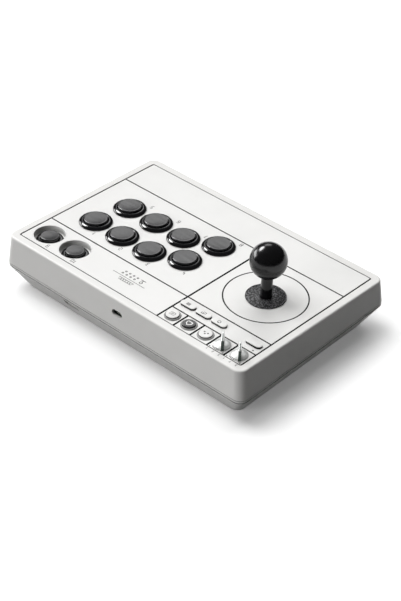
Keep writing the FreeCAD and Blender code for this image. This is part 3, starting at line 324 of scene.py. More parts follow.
# One look per material slot of the CAD, and more for the pieces made here. Colours are linear.
LOOK_SETTINGS = {
    "casing_plastic": dict(
        colour=(0.68, 0.675, 0.66), vary=0.012, rough=0.42, grain=1800, bump=0.12, depth=0.0001),
    "faceplate_plastic": dict(
        colour=(0.70, 0.697, 0.685), vary=0.012, rough=0.36, grain=2600, bump=0.08),
    "plate_steel": dict(
        colour=(0.42, 0.43, 0.44), vary=0.08, rough=0.34, metallic=1.0, grain=900, bump=0.15,
        grain_stretch=(0.05, 1, 1)),
    "mat_rubber": dict(
        colour=(0.022, 0.022, 0.023), vary=0.15, rough=0.78, grain=1100, bump=0.5, depth=0.0002,
        specular=0.3),
    "screw_steel": dict(
        colour=(0.50, 0.50, 0.50), vary=0.08, patch=300, rough=0.28, metallic=1.0, bump=0.12),
    "board_laminate": dict(
        colour=(0.006, 0.014, 0.010), vary=0.2, patch=140, rough=0.35, grain=1500, bump=0.2),
    "socket_metal": dict(
        colour=(0.62, 0.61, 0.58), vary=0.06, patch=260, rough=0.25, metallic=1.0, bump=0.1),
    "battery_wrap": dict(
        colour=(0.03, 0.08, 0.22), vary=0.1, rough=0.3, grain=700, bump=0.3, coat=0.3),
    "switch_plastic": dict(
        colour=(0.018, 0.018, 0.018), vary=0.15, rough=0.5, grain=2600, bump=0.15),
    "led_lens": dict(
        colour=(0.62, 0.64, 0.62), vary=0.05, patch=400, rough=0.2, bump=0.05, coat=0.4),
    "gloss_black": dict(
        colour=(0.0035, 0.0035, 0.004), vary=0.2, patch=60, rough=0.11, rough_vary=0.03, grain=900,
        bump=0.015),
    "ball_black": dict(
        colour=(0.004, 0.004, 0.0045), vary=0.2, patch=60, rough=0.2, rough_vary=0.03, grain=1200,
        bump=0.02, specular=0.42),
    "cap_black": dict(
        colour=(0.006, 0.006, 0.007), vary=0.2, patch=90, rough=0.20, rough_vary=0.05, grain=1600,
        bump=0.12, depth=0.00008, stretch=(0.12, 1, 1), grain_stretch=(0.08, 1, 1)),
    "stick_nylon": dict(
        colour=(0.028, 0.028, 0.03), vary=0.12, rough=0.45, grain=2000, bump=0.15),
    "stick_steel": dict(
        colour=(0.60, 0.60, 0.60), vary=0.05, patch=120, rough=0.2, metallic=1.0, grain=1500,
        bump=0.08, grain_stretch=(1, 1, 0.05)),
    "key_plastic": dict(
        colour=(0.69, 0.687, 0.675), vary=0.015, patch=160, rough=0.33, grain=3000, bump=0.06),
    "home_key": dict(
        colour=(0.012, 0.012, 0.013), vary=0.1, patch=200, rough=0.2, grain=2600, bump=0.06),
    "key_foot": dict(
        colour=(0.26, 0.26, 0.255), vary=0.06, patch=200, rough=0.45, grain=2600, bump=0.1),
    # Painted shade: the near-black skirt under each light key stands in for the key's side wall in shadow and
    # the dark gap round it.
    "key_skirt": dict(
        colour=(0.018, 0.018, 0.018), vary=0.1, patch=200, rough=0.6, grain=2600, bump=0.1,
        specular=0.2),
    "pointer_green": dict(
        colour=(0.012, 0.030, 0.022), vary=0.15, patch=200, rough=0.2, grain=2600, bump=0.05),
    "knob_metal": dict(
        colour=(0.66, 0.67, 0.66), vary=0.05, patch=220, rough=0.34, rough_vary=0.05, metallic=0.45,
        grain=1800, bump=0.06, grain_stretch=(1, 1, 0.06)),
    "dongle_plastic": dict(
        colour=(0.68, 0.675, 0.66), vary=0.02, rough=0.42, grain=2200, bump=0.2),
    # Painted shade: near-black that stands in for the shade deep in the grooves, gaps and seams whose unlit
    # wall faces the camera.
    "painted_groove_shade_dark": dict(
        colour=(0.006, 0.006, 0.006), vary=0.2, patch=200, rough=0.7, grain=1500, bump=0.1,
        specular=0.08),
    # Painted shade: a less dark near-black for the grooves and gaps whose wall facing the camera catches some
    # light.
    "painted_groove_shade_grey": dict(
        colour=(0.014, 0.014, 0.0135), vary=0.15, patch=200, rough=0.7, grain=1500, bump=0.1,
        specular=0.08),
    "legend_ink": dict(
        colour=(0.05, 0.05, 0.049), vary=0.08, patch=400, rough=0.6, grain=2500, bump=0.08,
        specular=0.2),
    "pale_ink": dict(
        colour=(0.80, 0.80, 0.79), vary=0.05, patch=400, rough=0.5, grain=2500, bump=0.08),
    # The disc's pale flecks are painted glints; its near-black base is its own colour.
    "washer_black": dict(
        colour=(0.020, 0.020, 0.021), vary=0.1, patch=90, rough=0.42, grain=620, bump=0.5,
        depth=0.00012, painted_glints=5.0, specular=0.3),
}
LOOKS = {name: make_material(name, **settings) for name, settings in LOOK_SETTINGS.items()}


def dress_cad_nodes():
    """Gives every carried-over node the look of its own material slot."""
    for node in NODES.values():
        for index, held in enumerate(node.data.materials):
            slot = held.name.split(".")[0]
            node.data.materials[index] = LOOKS[slot]


# ---------------------------------------------------------------- mesh helpers

def new_piece(name, verts, faces, look, body, smooth_angle=40, place=None, replaces=()):
    """A visible piece that rides on a body, smooth but for edges sharper than smooth_angle."""
    mesh = bpy.data.meshes.new(name)
    mesh.from_pydata([tuple(v) for v in verts], [], faces)
    mesh.validate()
    if place is not None:
        mesh.transform(place)
    mesh.update()
    for polygon in mesh.polygons:
        polygon.use_smooth = True
    mesh.set_sharp_from_angle(angle=math.radians(smooth_angle))
    mesh.materials.append(LOOKS[look])
    piece = bpy.data.objects.new(name, mesh)
    bpy.context.scene.collection.objects.link(piece)
    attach(piece, body)
    if replaces:
        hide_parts(*replaces)
    return piece


def quarter(r, w, radius, first, last, steps=6):
    """Points on a circle arc about (r, w), angles in degrees from +r towards +w."""
    points = []
    for i in range(steps + 1):
        angle = math.radians(first + (last - first) * i / steps)
        points.append((r + radius * math.cos(angle), w + radius * math.sin(angle)))
    return points


ON_AXIS = 1e-6


def lathe(profile, segments=96, half_span=0.0):
    """A closed profile (r, w) in millimetres, turned about the w axis or round a bar of half_span each way."""
    verts = []
    rings = []
    for r, w in profile:
        if r < ON_AXIS:
            ends = (half_span, -half_span) if half_span else (0.0,)
            first = len(verts)
            verts += [Vector((end * MM, 0, w * MM)) for end in ends]
            last = first + len(ends) - 1
            rings.append([first if i < segments / 2 else last for i in range(segments)])
            continue
        ring = []
        for i in range(segments):
            angle = 2 * math.pi * (i + 0.5) / segments - math.pi / 2
            shift = half_span if i < segments / 2 else -half_span
            ring.append(len(verts))
            verts.append(Vector((shift + r * math.cos(angle), r * math.sin(angle), w)) * MM)
        rings.append(ring)
    faces = []
    solid = profile[0][0] < ON_AXIS and profile[-1][0] < ON_AXIS
    pairs = list(zip(rings, rings[1:])) + ([] if solid else [(rings[-1], rings[0])])
    for low, high in pairs:
        for i in range(segments):
            j = (i + 1) % segments
            corners = []
            for index in (low[i], low[j], high[j], high[i]):
                if index not in corners:
                    corners.append(index)
            if len(corners) > 2:
                faces.append(tuple(corners))
    return verts, faces


def ribbon(points, width, w, thick, closed=False):
    """A flat stroke of even width along points (u, v) in millimetres, standing thick above w."""
    count = len(points)
    left, right = [], []
    for i, (u, v) in enumerate(points):
        before = points[i - 1] if closed or i else points[i]
        after = points[(i + 1) % count] if closed or i + 1 < count else points[i]
        du, dv = after[0] - before[0], after[1] - before[1]
        length = math.hypot(du, dv)
        nu, nv = -dv / length * width / 2, du / length * width / 2
        left.append((u + nu, v + nv))
        right.append((u - nu, v - nv))
    verts = []
    for height in (w, w + thick):
        verts += [at(u, v, height) for u, v in left]
        verts += [at(u, v, height) for u, v in right]
    faces = []
    spans = count if closed else count - 1
    low_left, low_right, top_left, top_right = 0, count, 2 * count, 3 * count
    for i in range(spans):
        j = (i + 1) % count
        faces.append((top_right + i, top_right + j, top_left + j, top_left + i))
        faces.append((low_left + i, low_left + j, low_right + j, low_right + i))
        faces.append((low_left + j, low_left + i, top_left + i, top_left + j))
        faces.append((low_right + i, low_right + j, top_right + j, top_right + i))
    if not closed:
        end = count - 1
        faces.append((low_left, low_right, top_right, top_left))
        faces.append((low_right + end, low_left + end, top_left + end, top_right + end))
    return verts, faces


def join(parts):
    """Several (verts, faces) as one."""
    verts, faces = [], []
    for part_verts, part_faces in parts:
        base = len(verts)
        verts += part_verts
        faces += [tuple(index + base for index in face) for face in part_faces]
    return verts, faces


# ---------------------------------------------------------------- round pieces
# Profiles are (r, w) in millimetres: the distance from the axis, and the height over the panel.

ROUND_SMOOTH = 35
FINE_SEGMENTS = 128
KEY_SEGMENTS = 72


def turned(name, profile, centre, body, look, node, segments=96, half_span=0.0):
    """A profile turned about an axis on the panel, in place of a CAD node if one is named."""
    verts, faces = lathe(profile, segments, half_span)
    replaced = (node,) if node else ()
    return new_piece(name, verts, faces, look, body, ROUND_SMOOTH, panel_frame(*centre), replaced)


HOUSING_PROFILE = [
    (0, -18.0), (14.2, -18.0), (14.85, -17.2), (14.85, -0.1), (14.95, 0.0), (16.3, 0.0), (16.6, 0.25),
    (16.6, 0.75), (16.45, 1.15), (16.15, 1.6), (15.7, 2.0), (15.2, 2.32), (14.6, 2.6), (14.0, 2.78),
    (13.5, 2.87), (13.1, 2.9), (12.8, 2.82), (12.5, 2.6), (12.3, 2.3), (12.2, 1.9), (12.15, 1.4),
    (12.15, -16.0), (0, -16.0),
]
WELL_FLOOR = -6.5
WELL_HOLE = 12.1
SMALL_HOUSING_PROFILE = [(r, WELL_FLOOR + above) for r, above in (
    (0, -16.0), (11.2, -16.0), (11.9, -15.2), (11.9, 0), (13.2, 0), (13.4, 0.2), (13.4, 0.7), (13.2, 1.2),
    (12.6, 1.6), (11.8, 1.9), (10.8, 2.08), (10.2, 2.1), (9.85, 1.95), (9.65, 1.6), (9.6, 1.2),
    (9.6, -14.0), (0, -14.0),
)]
CAP_DEPTH = 12.5
CAP_CEILING = 2.3
CAP_DISH = 0.3
CAP_ROUNDING = 0.9
CAP_EDGE_STEPS = 8
CAP_TOP_STEPS = 8


def cap_profile(radius, top):
    """A hollow cap with a central stem, a rounded edge and a faintly dished top."""
    bottom = top - CAP_DEPTH
    ceiling = top - CAP_CEILING
    outer = [(0, bottom + 1), (2.4, bottom + 1), (2.5, ceiling), (radius - 1.9, ceiling)]
    outer += [(radius - 1.8, bottom), (radius - 0.15, bottom), (radius, bottom + 0.15)]
    outer += quarter(radius - CAP_ROUNDING, top - CAP_ROUNDING, CAP_ROUNDING, 0, 90, CAP_EDGE_STEPS)
    flat = radius - CAP_ROUNDING
    for i in range(1, CAP_TOP_STEPS + 1):
        r = flat * (1 - i / CAP_TOP_STEPS)
        outer.append((r, top - CAP_DISH * (1 - (r / flat) ** 2)))
    return outer


def add_push_buttons(kind, count, rim_profile):
    """Each push button of a kind: its housing with the rim, and its moving cap."""
    black = "gloss_black"
    for number in range(1, count + 1):
        housing = "%s_housing_%d" % (kind, number)
        cap = "%s_cap_%d" % (kind, number)
        centre = middle(housing)
        turned("%s_rim_%d" % (kind, number), rim_profile, centre, "housing", black, housing)
        profile = cap_profile(half_width(cap), top_of(cap))
        turned("%s_top_%d" % (kind, number), profile, centre, cap, "cap_black", cap)


def add_well_linings():
    """The two round wells that the small buttons stand in, each with a soft lip level with the panel."""
    _, (low, high), _ = extent("well_cups")
    cup = (high - low) / 2
    floor = WELL_FLOOR
    profile = [
        (WELL_HOLE, floor - 2.0), (cup - 0.1, floor - 2.0), (cup, floor - 1.9), (cup, -0.08),
        (cup - 0.08, 0.0), (cup - 0.55, 0.0), (cup - 0.75, -0.06), (cup - 0.88, -0.25), (cup - 0.9, -0.5),
        (cup - 1.0, floor + 0.7), (cup - 1.15, floor + 0.25), (cup - 1.5, floor), (WELL_HOLE, floor),
    ]
    cups = []
    for number in (1, 2):
        verts, faces = lathe(profile)
        place = panel_frame(*middle("small_housing_%d" % number))
        cups.append(([place @ vert for vert in verts], faces))
    verts, faces = join(cups)
    slot = "faceplate_plastic"
    new_piece("well_linings", verts, faces, slot, "housing", replaces=("well_cups",))


WASHER_HOLE, WASHER_EDGE = 5.9, 19.3
WASHER_FOOT, WASHER_TOP = 0.1, 1.2
WASHER_RING_DEPTH = 0.07
BALL_RADIUS, BALL_HEIGHT, BALL_FOOT = 17.5, 40.3, 7.0
BALL_STEPS = 60


def washer_profile():
    """A flat round disc with a shallow ring turned into its top near the edge."""
    hole, edge, foot, top = WASHER_HOLE, WASHER_EDGE, WASHER_FOOT, WASHER_TOP
    ring_floor = top - WASHER_RING_DEPTH
    profile = [(hole, foot), (edge - 0.25, foot), (edge, foot + 0.25)]
    profile += quarter(edge - 0.5, top - 0.5, 0.5, 0, 90, 5)
    profile += [(edge - 1.0, top), (edge - 1.15, ring_floor), (edge - 1.4, ring_floor), (edge - 1.55, top)]
    profile += [(hole + 0.2, top), (hole, top - 0.2)]
    return profile


def ball_profile():
    """A ball cut off flat at its foot, with a shallow socket for the shaft."""
    drop = math.sqrt(BALL_RADIUS ** 2 - BALL_FOOT ** 2)
    start = math.asin(-drop / BALL_RADIUS)
    base = BALL_HEIGHT - drop
    profile = [(0, base + 0.7), (5.7, base + 0.7), (5.7, base + 0.1), (5.8, base), (BALL_FOOT - 0.4, base)]
    for i in range(1, BALL_STEPS + 1):
        angle = start + (math.pi / 2 - start) * i / BALL_STEPS
        r = BALL_RADIUS * math.cos(angle) if i < BALL_STEPS else 0
        profile.append((r, BALL_HEIGHT + BALL_RADIUS * math.sin(angle)))
    return profile


def sleeve_profile():
    """The shaft's cover, with a fine groove turned near its upper end."""
    low, high = extent("shaft_cover")[2]
    return [
        (4.0, low), (5.2, low), (5.5, low + 0.3), (5.5, high - 0.8), (5.35, high - 0.65), (5.35, high - 0.3),
        (5.5, high - 0.15), (5.5, high), (4.0, high),
    ]


def add_stick():
    """The washer that slides with the stick, the ball grip and the shaft's cover."""
    centre = middle("dust_washer")
    fine, black = FINE_SEGMENTS, "gloss_black"
    turned("dust_disc", washer_profile(), centre, "dust_washer", "washer_black", "dust_washer", fine)
    turned("ball_grip", ball_profile(), centre, "stick", "ball_black", "ball_top", fine)
    turned("stick_sleeve", sleeve_profile(), centre, "stick", black, "shaft_cover")


# ---------------------------------------------------------------- control block

KEY_CROWN = 0.9
KEY_STEM = [(0, -4.8), (1.5, -4.8), (1.6, -4.7), (1.6, -2.0)]
PILL_STEM_SEGMENTS = 32
ROUND_KEY_RADIUS = 6.2
ROUND_FOOT_PROFILE = [(ROUND_KEY_RADIUS + out, w) for out, w in (
    (0.3, 0.01), (1.75, 0.01), (1.75, 0.35), (1.65, 0.5), (1.4, 0.55), (1.35, 0.9), (1.2, 1.05),
    (0.4, 1.05), (0.3, 0.95),
)]


def key_profile(radius, top, rounding, crown_start, crown_end):
    """A crowned key cap; the crown runs between two shares of its radius."""
    edge = top - KEY_CROWN
    profile = [(0, edge), (radius - 0.1, edge), (radius, edge + 0.1)]
    profile += rounding
    profile += [(radius * crown_start, top - 0.01), (radius * crown_end, top), (0, top)]
    return profile


def skirt_sides(radius, top):
    """The sides and top of the narrower dark skirt under a key cap, painted shade for the cap's shadowed side.
    """
    edge = top - KEY_CROWN
    return [(radius - 0.25, -2.0), (radius - 0.15, -1.9), (radius - 0.15, edge), (0, edge)]


def add_round_keys():
    """Round keys, each on a dark skirt of painted shade and in a raised ring of its own."""
    radius, segments = ROUND_KEY_RADIUS, KEY_SEGMENTS
    for number in (1, 2, 3):
        node = "round_button_%d" % number
        centre = middle(node)
        top = top_of(node)
        look = "home_key" if number == 2 else "key_plastic"
        cap = key_profile(radius, top, quarter(radius - 0.35, top - 0.4, 0.35, 0, 90, 5), 0.6, 0.3)
        turned("round_key_%d" % number, cap, centre, node, look, node, segments)
        foot = ROUND_FOOT_PROFILE
        turned("round_foot_%d" % number, foot, centre, "housing", "key_foot", "", segments)
        skirt = KEY_STEM + skirt_sides(radius, top)
        turned("round_shade_skirt_%d" % number, skirt, centre, node, "key_skirt", "", segments)


def add_pill_keys():
    """Pill-shaped keys, each on a dark skirt of painted shade with a round stem under it."""
    slot, segments = "key_plastic", KEY_SEGMENTS
    for number in (1, 2, 3, 4):
        node = "pill_button_%d" % number
        (u0, u1), (v0, v1), (_, top) = extent(node)
        centre = ((u0 + u1) / 2, (v0 + v1) / 2)
        radius = (v1 - v0) / 2
        half_span = (u1 - u0) / 2 - radius
        cap = key_profile(radius, top, quarter(radius - 0.45, top - 0.5, 0.45, 0, 90, 6), 0.5, 0.25)
        turned("pill_key_%d" % number, cap, centre, node, slot, node, segments, half_span)
        skirt = lathe([(0, -2.0)] + skirt_sides(radius, top), segments, half_span)
        stem = lathe(KEY_STEM + [(0, -2.0)], PILL_STEM_SEGMENTS)
        verts, faces = join([skirt, stem])
        place = panel_frame(*centre)
        new_piece("pill_shade_skirt_%d" % number, verts, faces, "key_skirt", node, ROUND_SMOOTH, place)


def wedge(low_ring, high_ring, rounding):
    """A block between a lower and an upper ring of four places (u, v, w), its upper edges rounded."""
    bm = bmesh.new()
    places = [tuple(value * MM for value in place) for place in low_ring + high_ring]
    a, b, c, d, e, f, g, h = [bm.verts.new(place) for place in places]
    for face in ((d, c, b, a), (e, f, g, h), (a, b, f, e), (b, c, g, f), (c, d, h, g), (d, a, e, h)):
        bm.faces.new(face)
    lowest = max(place[2] for place in low_ring)
    picked = [edge for edge in bm.edges if max(vert.co.z for vert in edge.verts) > (lowest + 0.1) * MM]
    bmesh.ops.bevel(bm, geom=picked, offset=rounding * MM, segments=4, profile=0.5, affect="EDGES")
    bm.verts.index_update()
    verts = [vert.co.copy() for vert in bm.verts]
    faces = [tuple(vert.index for vert in face.verts) for face in bm.faces]
    bm.free()
    return verts, faces


def ring_of_four(half, tail, nose, w):
    """The corners of an upright rectangle across the panel, at one height."""
    return [(-half, tail, w), (half, tail, w), (half, nose, w), (-half, nose, w)]


KNOB_TAIL, KNOB_NOSE = -6.2, 9.8
KNOB_TURN = math.radians(40.5)
KNOB_SMOOTH = 30
KNOB_FOOT = [
    (3.0, 0.3), (7.6, 0.3), (7.8, 0.5), (7.8, 1.0), (7.65, 1.3), (7.3, 1.5), (5.4, 2.2), (4.8, 2.3), (0, 2.3),
]


def add_knobs():
    """A low conical foot, an upright bar across it and a dark pointer set into the bar's top and nose."""
    tail, nose, smooth, slot = KNOB_TAIL, KNOB_NOSE, KNOB_SMOOTH, "knob_metal"
    turn = Matrix.Rotation(KNOB_TURN, 4, "Z")
    for number in (1, 2):
        node = "selector_knob_%d" % number
        place = panel_frame(*knob_pivot(node))
        low, top = extent(node)[2]
        foot = lathe([(0, low), (2.8, low), (3.0, low + 0.2)] + KNOB_FOOT, KEY_SEGMENTS)
        bar = wedge(ring_of_four(1.75, tail, nose, 0.9), ring_of_four(1.35, tail + 1.2, nose - 0.5, top), 0.3)
        verts, faces = join([foot, ([turn @ vert for vert in bar[0]], bar[1])])
        new_piece("knob_%d" % number, verts, faces, "knob_metal", node, smooth, place, (node,))
        cover = wedge(
            ring_of_four(1.5, nose - 0.4, nose + 0.12, 1.1),
            ring_of_four(1.15, nose - 0.9, nose - 0.38, top - 0.1), 0.1)
        line = wedge(
            ring_of_four(0.5, -1.5, nose - 0.7, top - 0.2),
            ring_of_four(0.45, -1.4, nose - 0.8, top + 0.05), 0.03)
        verts, faces = join([cover, line])
        mark_place = place @ turn
        new_piece("knob_mark_%d" % number, verts, faces, "pointer_green", node, smooth, mark_place)


# ---------------------------------------------------------------- lines and legends

# Painted shade in the engraved lines: a fill on each groove's floor and a band at the surface. The wide fill,
# in the darker shade, goes in the lines whose unlit wall faces the camera.
FILL_FLOOR, FILL_THICK = -0.59, 0.54
NARROW_FILL, WIDE_FILL = 1.06, 1.56
BAND_LIFT, BAND_THICK = 0.008, 0.02
BAND_EXTRA, RING_BAND_EXTRA = 0.4, 0.3
BACK_LINE_IN, FRONT_LINE_IN = 40.26, 40.4
END_INSET = 0.02
GAP_FLOOR = -1.98
# The gap round the faceplate, filled with painted shade that is wider and darker at the sides: its middle's
# distance from the edge, and its fill's width and thickness.
SIDE_GAP, SIDE_GAP_FILL, SIDE_GAP_THICK = 0.8, 1.44, 1.8
END_GAP, END_GAP_FILL, END_GAP_THICK = 0.55, 0.98, 1.7
CORNER_REACH = 0.2
RING_RADIUS, RING_STEPS = 39.7, 160


def on_panel(name, parts, look):
    """Several (verts, faces) as one piece that stays with the housing."""
    verts, faces = join(parts)
    new_piece(name, verts, faces, look, "housing")


def add_lines():
    """Painted shade: a dark fill in the engraved lines with a wider dark band over each at the surface, and in
    the gap round the faceplate. Lines that run away from the player, whose wall facing the camera is unlit,
    get the wider and darker fill.
    """
    (face_u0, face_u1), (face_v0, face_v1), _ = extent("faceplate")
    first, second = middle("round_button_1"), middle("round_button_2")
    cell = first[0] - second[0]
    block_edge = first[0] + cell / 2
    cell_line = first[1] - cell / 2
    back_line = face_v1 - BACK_LINE_IN
    front_line = face_v0 + FRONT_LINE_IN
    left, right, far = face_u0 + END_INSET, face_u1 - END_INSET, face_v1 - END_INSET
    rows = [
        [(left, back_line), (right, back_line)],
        [(left, front_line), (right, front_line)],
        [(left, cell_line), (block_edge, cell_line)],
    ]
    across = [ribbon(row, NARROW_FILL, FILL_FLOOR, FILL_THICK) for row in rows]
    across += [ribbon(row, NARROW_FILL + BAND_EXTRA, BAND_LIFT, BAND_THICK) for row in rows]
    on_panel("line_fill_across", across, "painted_groove_shade_grey")
    columns = [[(block_edge, front_line), (block_edge, far)]]
    for i in range(1, 5):
        u = block_edge - cell * i
        columns.append([(u, cell_line), (u, far)])
    along = []
    for column in columns:
        along.append(ribbon(column, WIDE_FILL, FILL_FLOOR - 0.005, FILL_THICK + 0.03))
        along.append(ribbon(column, WIDE_FILL + BAND_EXTRA, BAND_LIFT + 0.004, BAND_THICK))
    for edge, side in ((face_u0, -1), (face_u1, 1)):
        u = edge + side * SIDE_GAP
        line = [(u, face_v0 - CORNER_REACH), (u, face_v1 + CORNER_REACH)]
        along.append(ribbon(line, SIDE_GAP_FILL, GAP_FLOOR, SIDE_GAP_THICK))
    on_panel("line_fill_along", along, "painted_groove_shade_dark")
    ends = []
    for edge, side in ((face_v0, -1), (face_v1, 1)):
        v = edge + side * END_GAP
        ends.append(ribbon([(face_u0, v), (face_u1, v)], END_GAP_FILL, GAP_FLOOR, END_GAP_THICK))
    on_panel("gap_fill_ends", ends, "painted_groove_shade_grey")
    ring = circle_points(RING_RADIUS, RING_STEPS, *middle("dust_washer"))[:-1]
    fill = ribbon(ring, NARROW_FILL, FILL_FLOOR, FILL_THICK, closed=True)
    band = ribbon(ring, NARROW_FILL + RING_BAND_EXTRA, BAND_LIFT, BAND_THICK, closed=True)
    on_panel("line_fill_ring", [fill, band], "painted_groove_shade_grey")


def outline(node, height):
    """The convex outline of a CAD node's outer wall within a millimetre of a height, as (x, y) in metres."""
    places = sorted({
        (round(vert.co.x, 6), round(vert.co.y, 6))
        for vert in NODES[node].data.vertices
        if abs(vert.co.z - height * MM) < MM
    })
    chains = []
    for line in (places, places[::-1]):
        chain = []
        for x, y in line:
            while len(chain) > 1:
                (ax, ay), (bx, by) = chain[-2:]
                if (bx - ax) * (y - ay) - (by - ay) * (x - ax) > 0:
                    break
                chain.pop()
            chain.append((x, y))
        chains += chain[:-1]
    return chains


def hoop(points, inset, depth, low, high):
    """A closed band that stands inset from the outline and reaches depth inwards, between two heights."""
    count = len(points)
    loops = []
    for shift, height in ((inset, low), (inset, high), (inset + depth, high), (inset + depth, low)):
        loop = []
        for i, (x, y) in enumerate(points):
            before, after = points[i - 1], points[(i + 1) % count]
            dx, dy = after[0] - before[0], after[1] - before[1]
            length = math.hypot(dx, dy)
            inwards = (-dy / length * shift * MM, dx / length * shift * MM)
            loop.append(Vector((x + inwards[0], y + inwards[1], height * MM)))
        loops.append(loop)
    verts = [vert for loop in loops for vert in loop]
    faces = []
    for k in range(4):
        first, second = k * count, (k + 1) % 4 * count
        for i in range(count):
            j = (i + 1) % count
            faces.append((first + i, first + j, second + j, second + i))
    return verts, faces


SEAM_HEIGHT, SEAM_GAP = 27.0, 0.7
STRIP_HEIGHT, STRIP_GROOVE = 1.8, 0.8
SHADE_CLEAR = 0.03
SHADE_INSET = 0.35


def add_seams():
    """Painted shade: dark bands set deep in the two grooves that run round the casing where its halves meet,
    standing in for the shade inside them.
    """
    seam_low, seam_high = SEAM_HEIGHT - SEAM_GAP / 2, SEAM_HEIGHT + SEAM_GAP / 2
    strip_low = seam_low - STRIP_HEIGHT - SHADE_CLEAR
    edge = outline("top_shell", seam_high)
    upper = hoop(edge, SHADE_INSET, 1.2, seam_low + SHADE_CLEAR, seam_high - SHADE_CLEAR)
    lower = hoop(edge, SHADE_INSET, 0.8, strip_low - STRIP_GROOVE + 2 * SHADE_CLEAR, strip_low)
    on_panel("seam_shade", [upper, lower], "painted_groove_shade_dark")


# Numerals, pictograms and dots are strokes: each a list of points, in millimetres but for the numerals,
# which are drawn 2 wide and 4 high.
DIGITS = {
    "0": [[(0, 0), (2, 0), (2, 4), (0, 4), (0, 0)]],
    "1": [[(0.4, 3.2), (1.2, 4), (1.2, 0)]],
    "2": [[(0, 4), (2, 4), (2, 2), (0, 2), (0, 0), (2, 0)]],
    "3": [[(0, 4), (2, 4), (2, 0), (0, 0)], [(0.4, 2), (2, 2)]],
    "4": [[(0, 4), (0, 1.6), (2, 1.6)], [(1.5, 2.6), (1.5, 0)]],
    "5": [[(2, 4), (0, 4), (0, 2.2), (2, 2.2), (2, 0), (0, 0)]],
    "6": [[(2, 4), (0, 4), (0, 0), (2, 0), (2, 2.2), (0, 2.2)]],
    "7": [[(0, 4), (2, 4), (0.8, 0)]],
    "8": [[(0, 0), (2, 0), (2, 4), (0, 4), (0, 0)], [(0, 2), (2, 2)]],
    "9": [[(2, 1.8), (0, 1.8), (0, 4), (2, 4), (2, 0), (0, 0)]],
}
PRINT_LIFT = 0.015
PRINT_THICK = 0.04
DIGIT_WIDTH, DIGIT_ADVANCE = 2, 3.1
NUMBER_SCALE, NUMBER_STROKE = 1.05, 0.6
# How far from its button a number stands: by the far row of large ones, the near row, and the small ones.
UPPER_SHIFT, LOWER_SHIFT, SMALL_SHIFT = (-13.2, 15.6), (-13.2, -17.9), (-13.1, 14.9)


def inked(points, width, w=PRINT_LIFT, closed=False):
    """One printed stroke on the panel."""
    return ribbon(points, width, w, PRINT_THICK, closed)


def strokes(lines, u, v, scale, width, w=PRINT_LIFT):
    """Printed strokes, each a list of points, about a place on the panel."""
    return [inked([(u + x * scale, v + y * scale) for x, y in line], width, w) for line in lines]


def number_strokes(text, u, v, scale, width):
    """A number in plain strokes, with its middle at (u, v)."""
    parts = []
    advance = DIGIT_ADVANCE * scale
    start = u - (advance * (len(text) - 1) + DIGIT_WIDTH * scale) / 2
    for index, digit in enumerate(text):
        parts += strokes(DIGITS[digit], start + index * advance, v - 2 * scale, scale, width)
    return parts


def circle_points(radius, count=24, u=0.0, v=0.0):
    """Points round a circle, the last on the first."""
    points = []
    for i in range(count + 1):
        angle = 2 * math.pi * i / count
        points.append((u + radius * math.cos(angle), v + radius * math.sin(angle)))
    return points


def add_numbers():
    """A plain number beside each push button."""
    places = []
    for number in range(1, 9):
        places.append(("button_housing_%d" % number, number, UPPER_SHIFT if number < 5 else LOWER_SHIFT))
    for number in (1, 2):
        places.append(("small_housing_%d" % number, number + 8, SMALL_SHIFT))
    for housing, number, shift in places:
        u, v = middle(housing)
        parts = number_strokes(str(number), u + shift[0], v + shift[1], NUMBER_SCALE, NUMBER_STROKE)
        on_panel("number_%d" % number, parts, "legend_ink")


MENU_ICON = [[(-2.1, 1.2), (2.1, 1.2)], [(-2.1, 0), (2.1, 0)], [(-2.1, -1.2), (2.1, -1.2)]]
WINDOW_ICON = [
    [(-2.4, -1.3), (0.6, -1.3), (0.6, 0.7), (-2.4, 0.7), (-2.4, -1.3)],
    [(-1.0, 1.5), (2.2, 1.5), (2.2, -0.5)],
]
RING_ICON = [circle_points(1.6), [(0, 1.9), (0, 0.4)]]
SCREEN_ICON = [
    [(-2.6, -1.9), (2.6, -1.9), (2.6, 1.9), (-2.6, 1.9), (-2.6, -1.9)],
    [(-1.5, 0.6), (1.5, 0.6)],
    [(-1.5, -0.6), (1.5, -0.6)],
]
HOUSE_ICON = [[(-2.6, -2.4), (-2.6, 0.6), (0, 3.0), (2.6, 0.6), (2.6, -2.4), (-2.6, -2.4)]]
DOTS_ICON = [circle_points(0.55, 12, x, y) for x, y in ((-2.0, -0.8), (0, 1.2), (2.0, -0.8))]


# Icons: node, icon, stroke width, ink, slot.
ICONS = (
    ("round_button_1", SCREEN_ICON, 0.45, "legend_ink", "key_plastic"),
    ("round_button_2", HOUSE_ICON, 1.0, "pale_ink", "home_key"),
    ("round_button_3", DOTS_ICON, 0.6, "legend_ink", "key_plastic"),
    ("pill_button_1", MENU_ICON, 0.7, "legend_ink", "key_plastic"),
    ("pill_button_2", WINDOW_ICON, 0.6, "legend_ink", "key_plastic"),
    ("pill_button_3", RING_ICON, 0.55, "legend_ink", "key_plastic"),
)
ICON_LIFT = 0.003


def add_icons():
    """A pictogram on the key caps, which moves with its key."""
    for node, icon, width, look, slot in ICONS:
        u, v = middle(node)
        verts, faces = join(strokes(icon, u, v, 1.0, width, top_of(node) + ICON_LIFT))
        new_piece(node.replace("button", "key_icon"), verts, faces, look, node)


DIAL_SHIFTS = (7.4, -0.2, -7.8)
DIAL_ARCS = ((50, 84), (96, 130))
DIAL_RADIUS, DIAL_STEPS = 8.8, 8
LAMP_MARK_SHIFT = 8.9


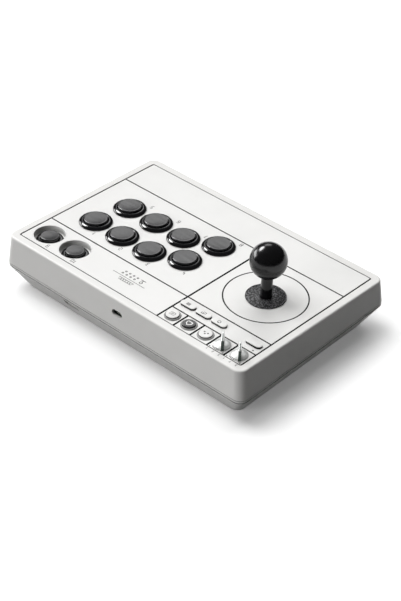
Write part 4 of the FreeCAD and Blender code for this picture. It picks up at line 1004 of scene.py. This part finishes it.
def add_block_legends():
    """Dial ticks, dial arcs and dial numbers at the selectors, and the mark beside the lamp."""
    _, (_, face_v1), _ = extent("faceplate")
    marks, numbers = [], []
    for node in ("selector_knob_1", "selector_knob_2"):
        u, v = knob_pivot(node)
        for index, shift in enumerate(DIAL_SHIFTS):
            marks.append(inked([(u + shift, face_v1 - 1.6), (u + shift, face_v1 - 0.1)], 0.75))
            numbers += number_strokes(str(index + 1), u + shift * 0.93, face_v1 + 3.3, 0.5, 0.42)
        for first, last in DIAL_ARCS:
            points = []
            for i in range(DIAL_STEPS + 1):
                angle = math.radians(first + (last - first) * i / DIAL_STEPS)
                points.append((u + DIAL_RADIUS * math.cos(angle), v + DIAL_RADIUS * math.sin(angle)))
            marks.append(inked(points, 0.5))
    lamp_u, lamp_v = middle("status_led")
    marks.append(inked(circle_points(0.6, 12, lamp_u - LAMP_MARK_SHIFT, lamp_v), 0.6))
    on_panel("dial_marks", marks, "legend_ink")
    on_panel("dial_numbers", numbers, "legend_ink")


EMBLEM_U, EMBLEM_V = 16.5, 70.1
RULE_HALF = 20.2
EMBLEM_STROKE = 0.7


def add_emblem():
    """A plain rule with a small picture of a stick and eight dots: a generic mark for the panel's kind."""
    u_mid, v_rule = EMBLEM_U, EMBLEM_V
    parts = [inked([(u_mid - RULE_HALF, v_rule), (u_mid + RULE_HALF, v_rule)], 0.5)]
    v = v_rule - 5.2
    parts.append(inked(circle_points(1.5, 20, u_mid - 12, v + 1.2), EMBLEM_STROKE))
    parts.append(inked([(u_mid - 12, v - 0.2), (u_mid - 12, v - 2.4)], EMBLEM_STROKE))
    parts.append(inked([(u_mid - 15, v - 2.6), (u_mid - 9, v - 2.6)], EMBLEM_STROKE))
    for column in range(4):
        for row in range(2):
            u = u_mid - 4 + 5.0 * column - 1.0 * row
            parts.append(inked(circle_points(0.8, 16, u, v + 1.6 - 3.6 * row), EMBLEM_STROKE))
    bar = [
        (u_mid - 9, v_rule + 2.6), (u_mid + 9, v_rule + 2.6),
        (u_mid + 7.4, v_rule + 5.6), (u_mid - 7.4, v_rule + 5.6),
    ]
    parts.append(inked(bar, 0.6, closed=True))
    for i in range(5):
        u = u_mid - 5.6 + 2.8 * i
        parts.append(inked([(u, v_rule + 3.4), (u, v_rule + 4.8)], 0.9))
    on_panel("emblem", parts, "legend_ink")


dress_cad_nodes()
set_camera()
set_world()
set_lights()
set_floor()
add_push_buttons("button", 8, HOUSING_PROFILE)
add_push_buttons("small", 2, SMALL_HOUSING_PROFILE)
add_well_linings()
add_stick()
add_round_keys()
add_pill_keys()
add_knobs()
add_lines()
add_seams()
add_numbers()
add_icons()
add_block_legends()
add_emblem()
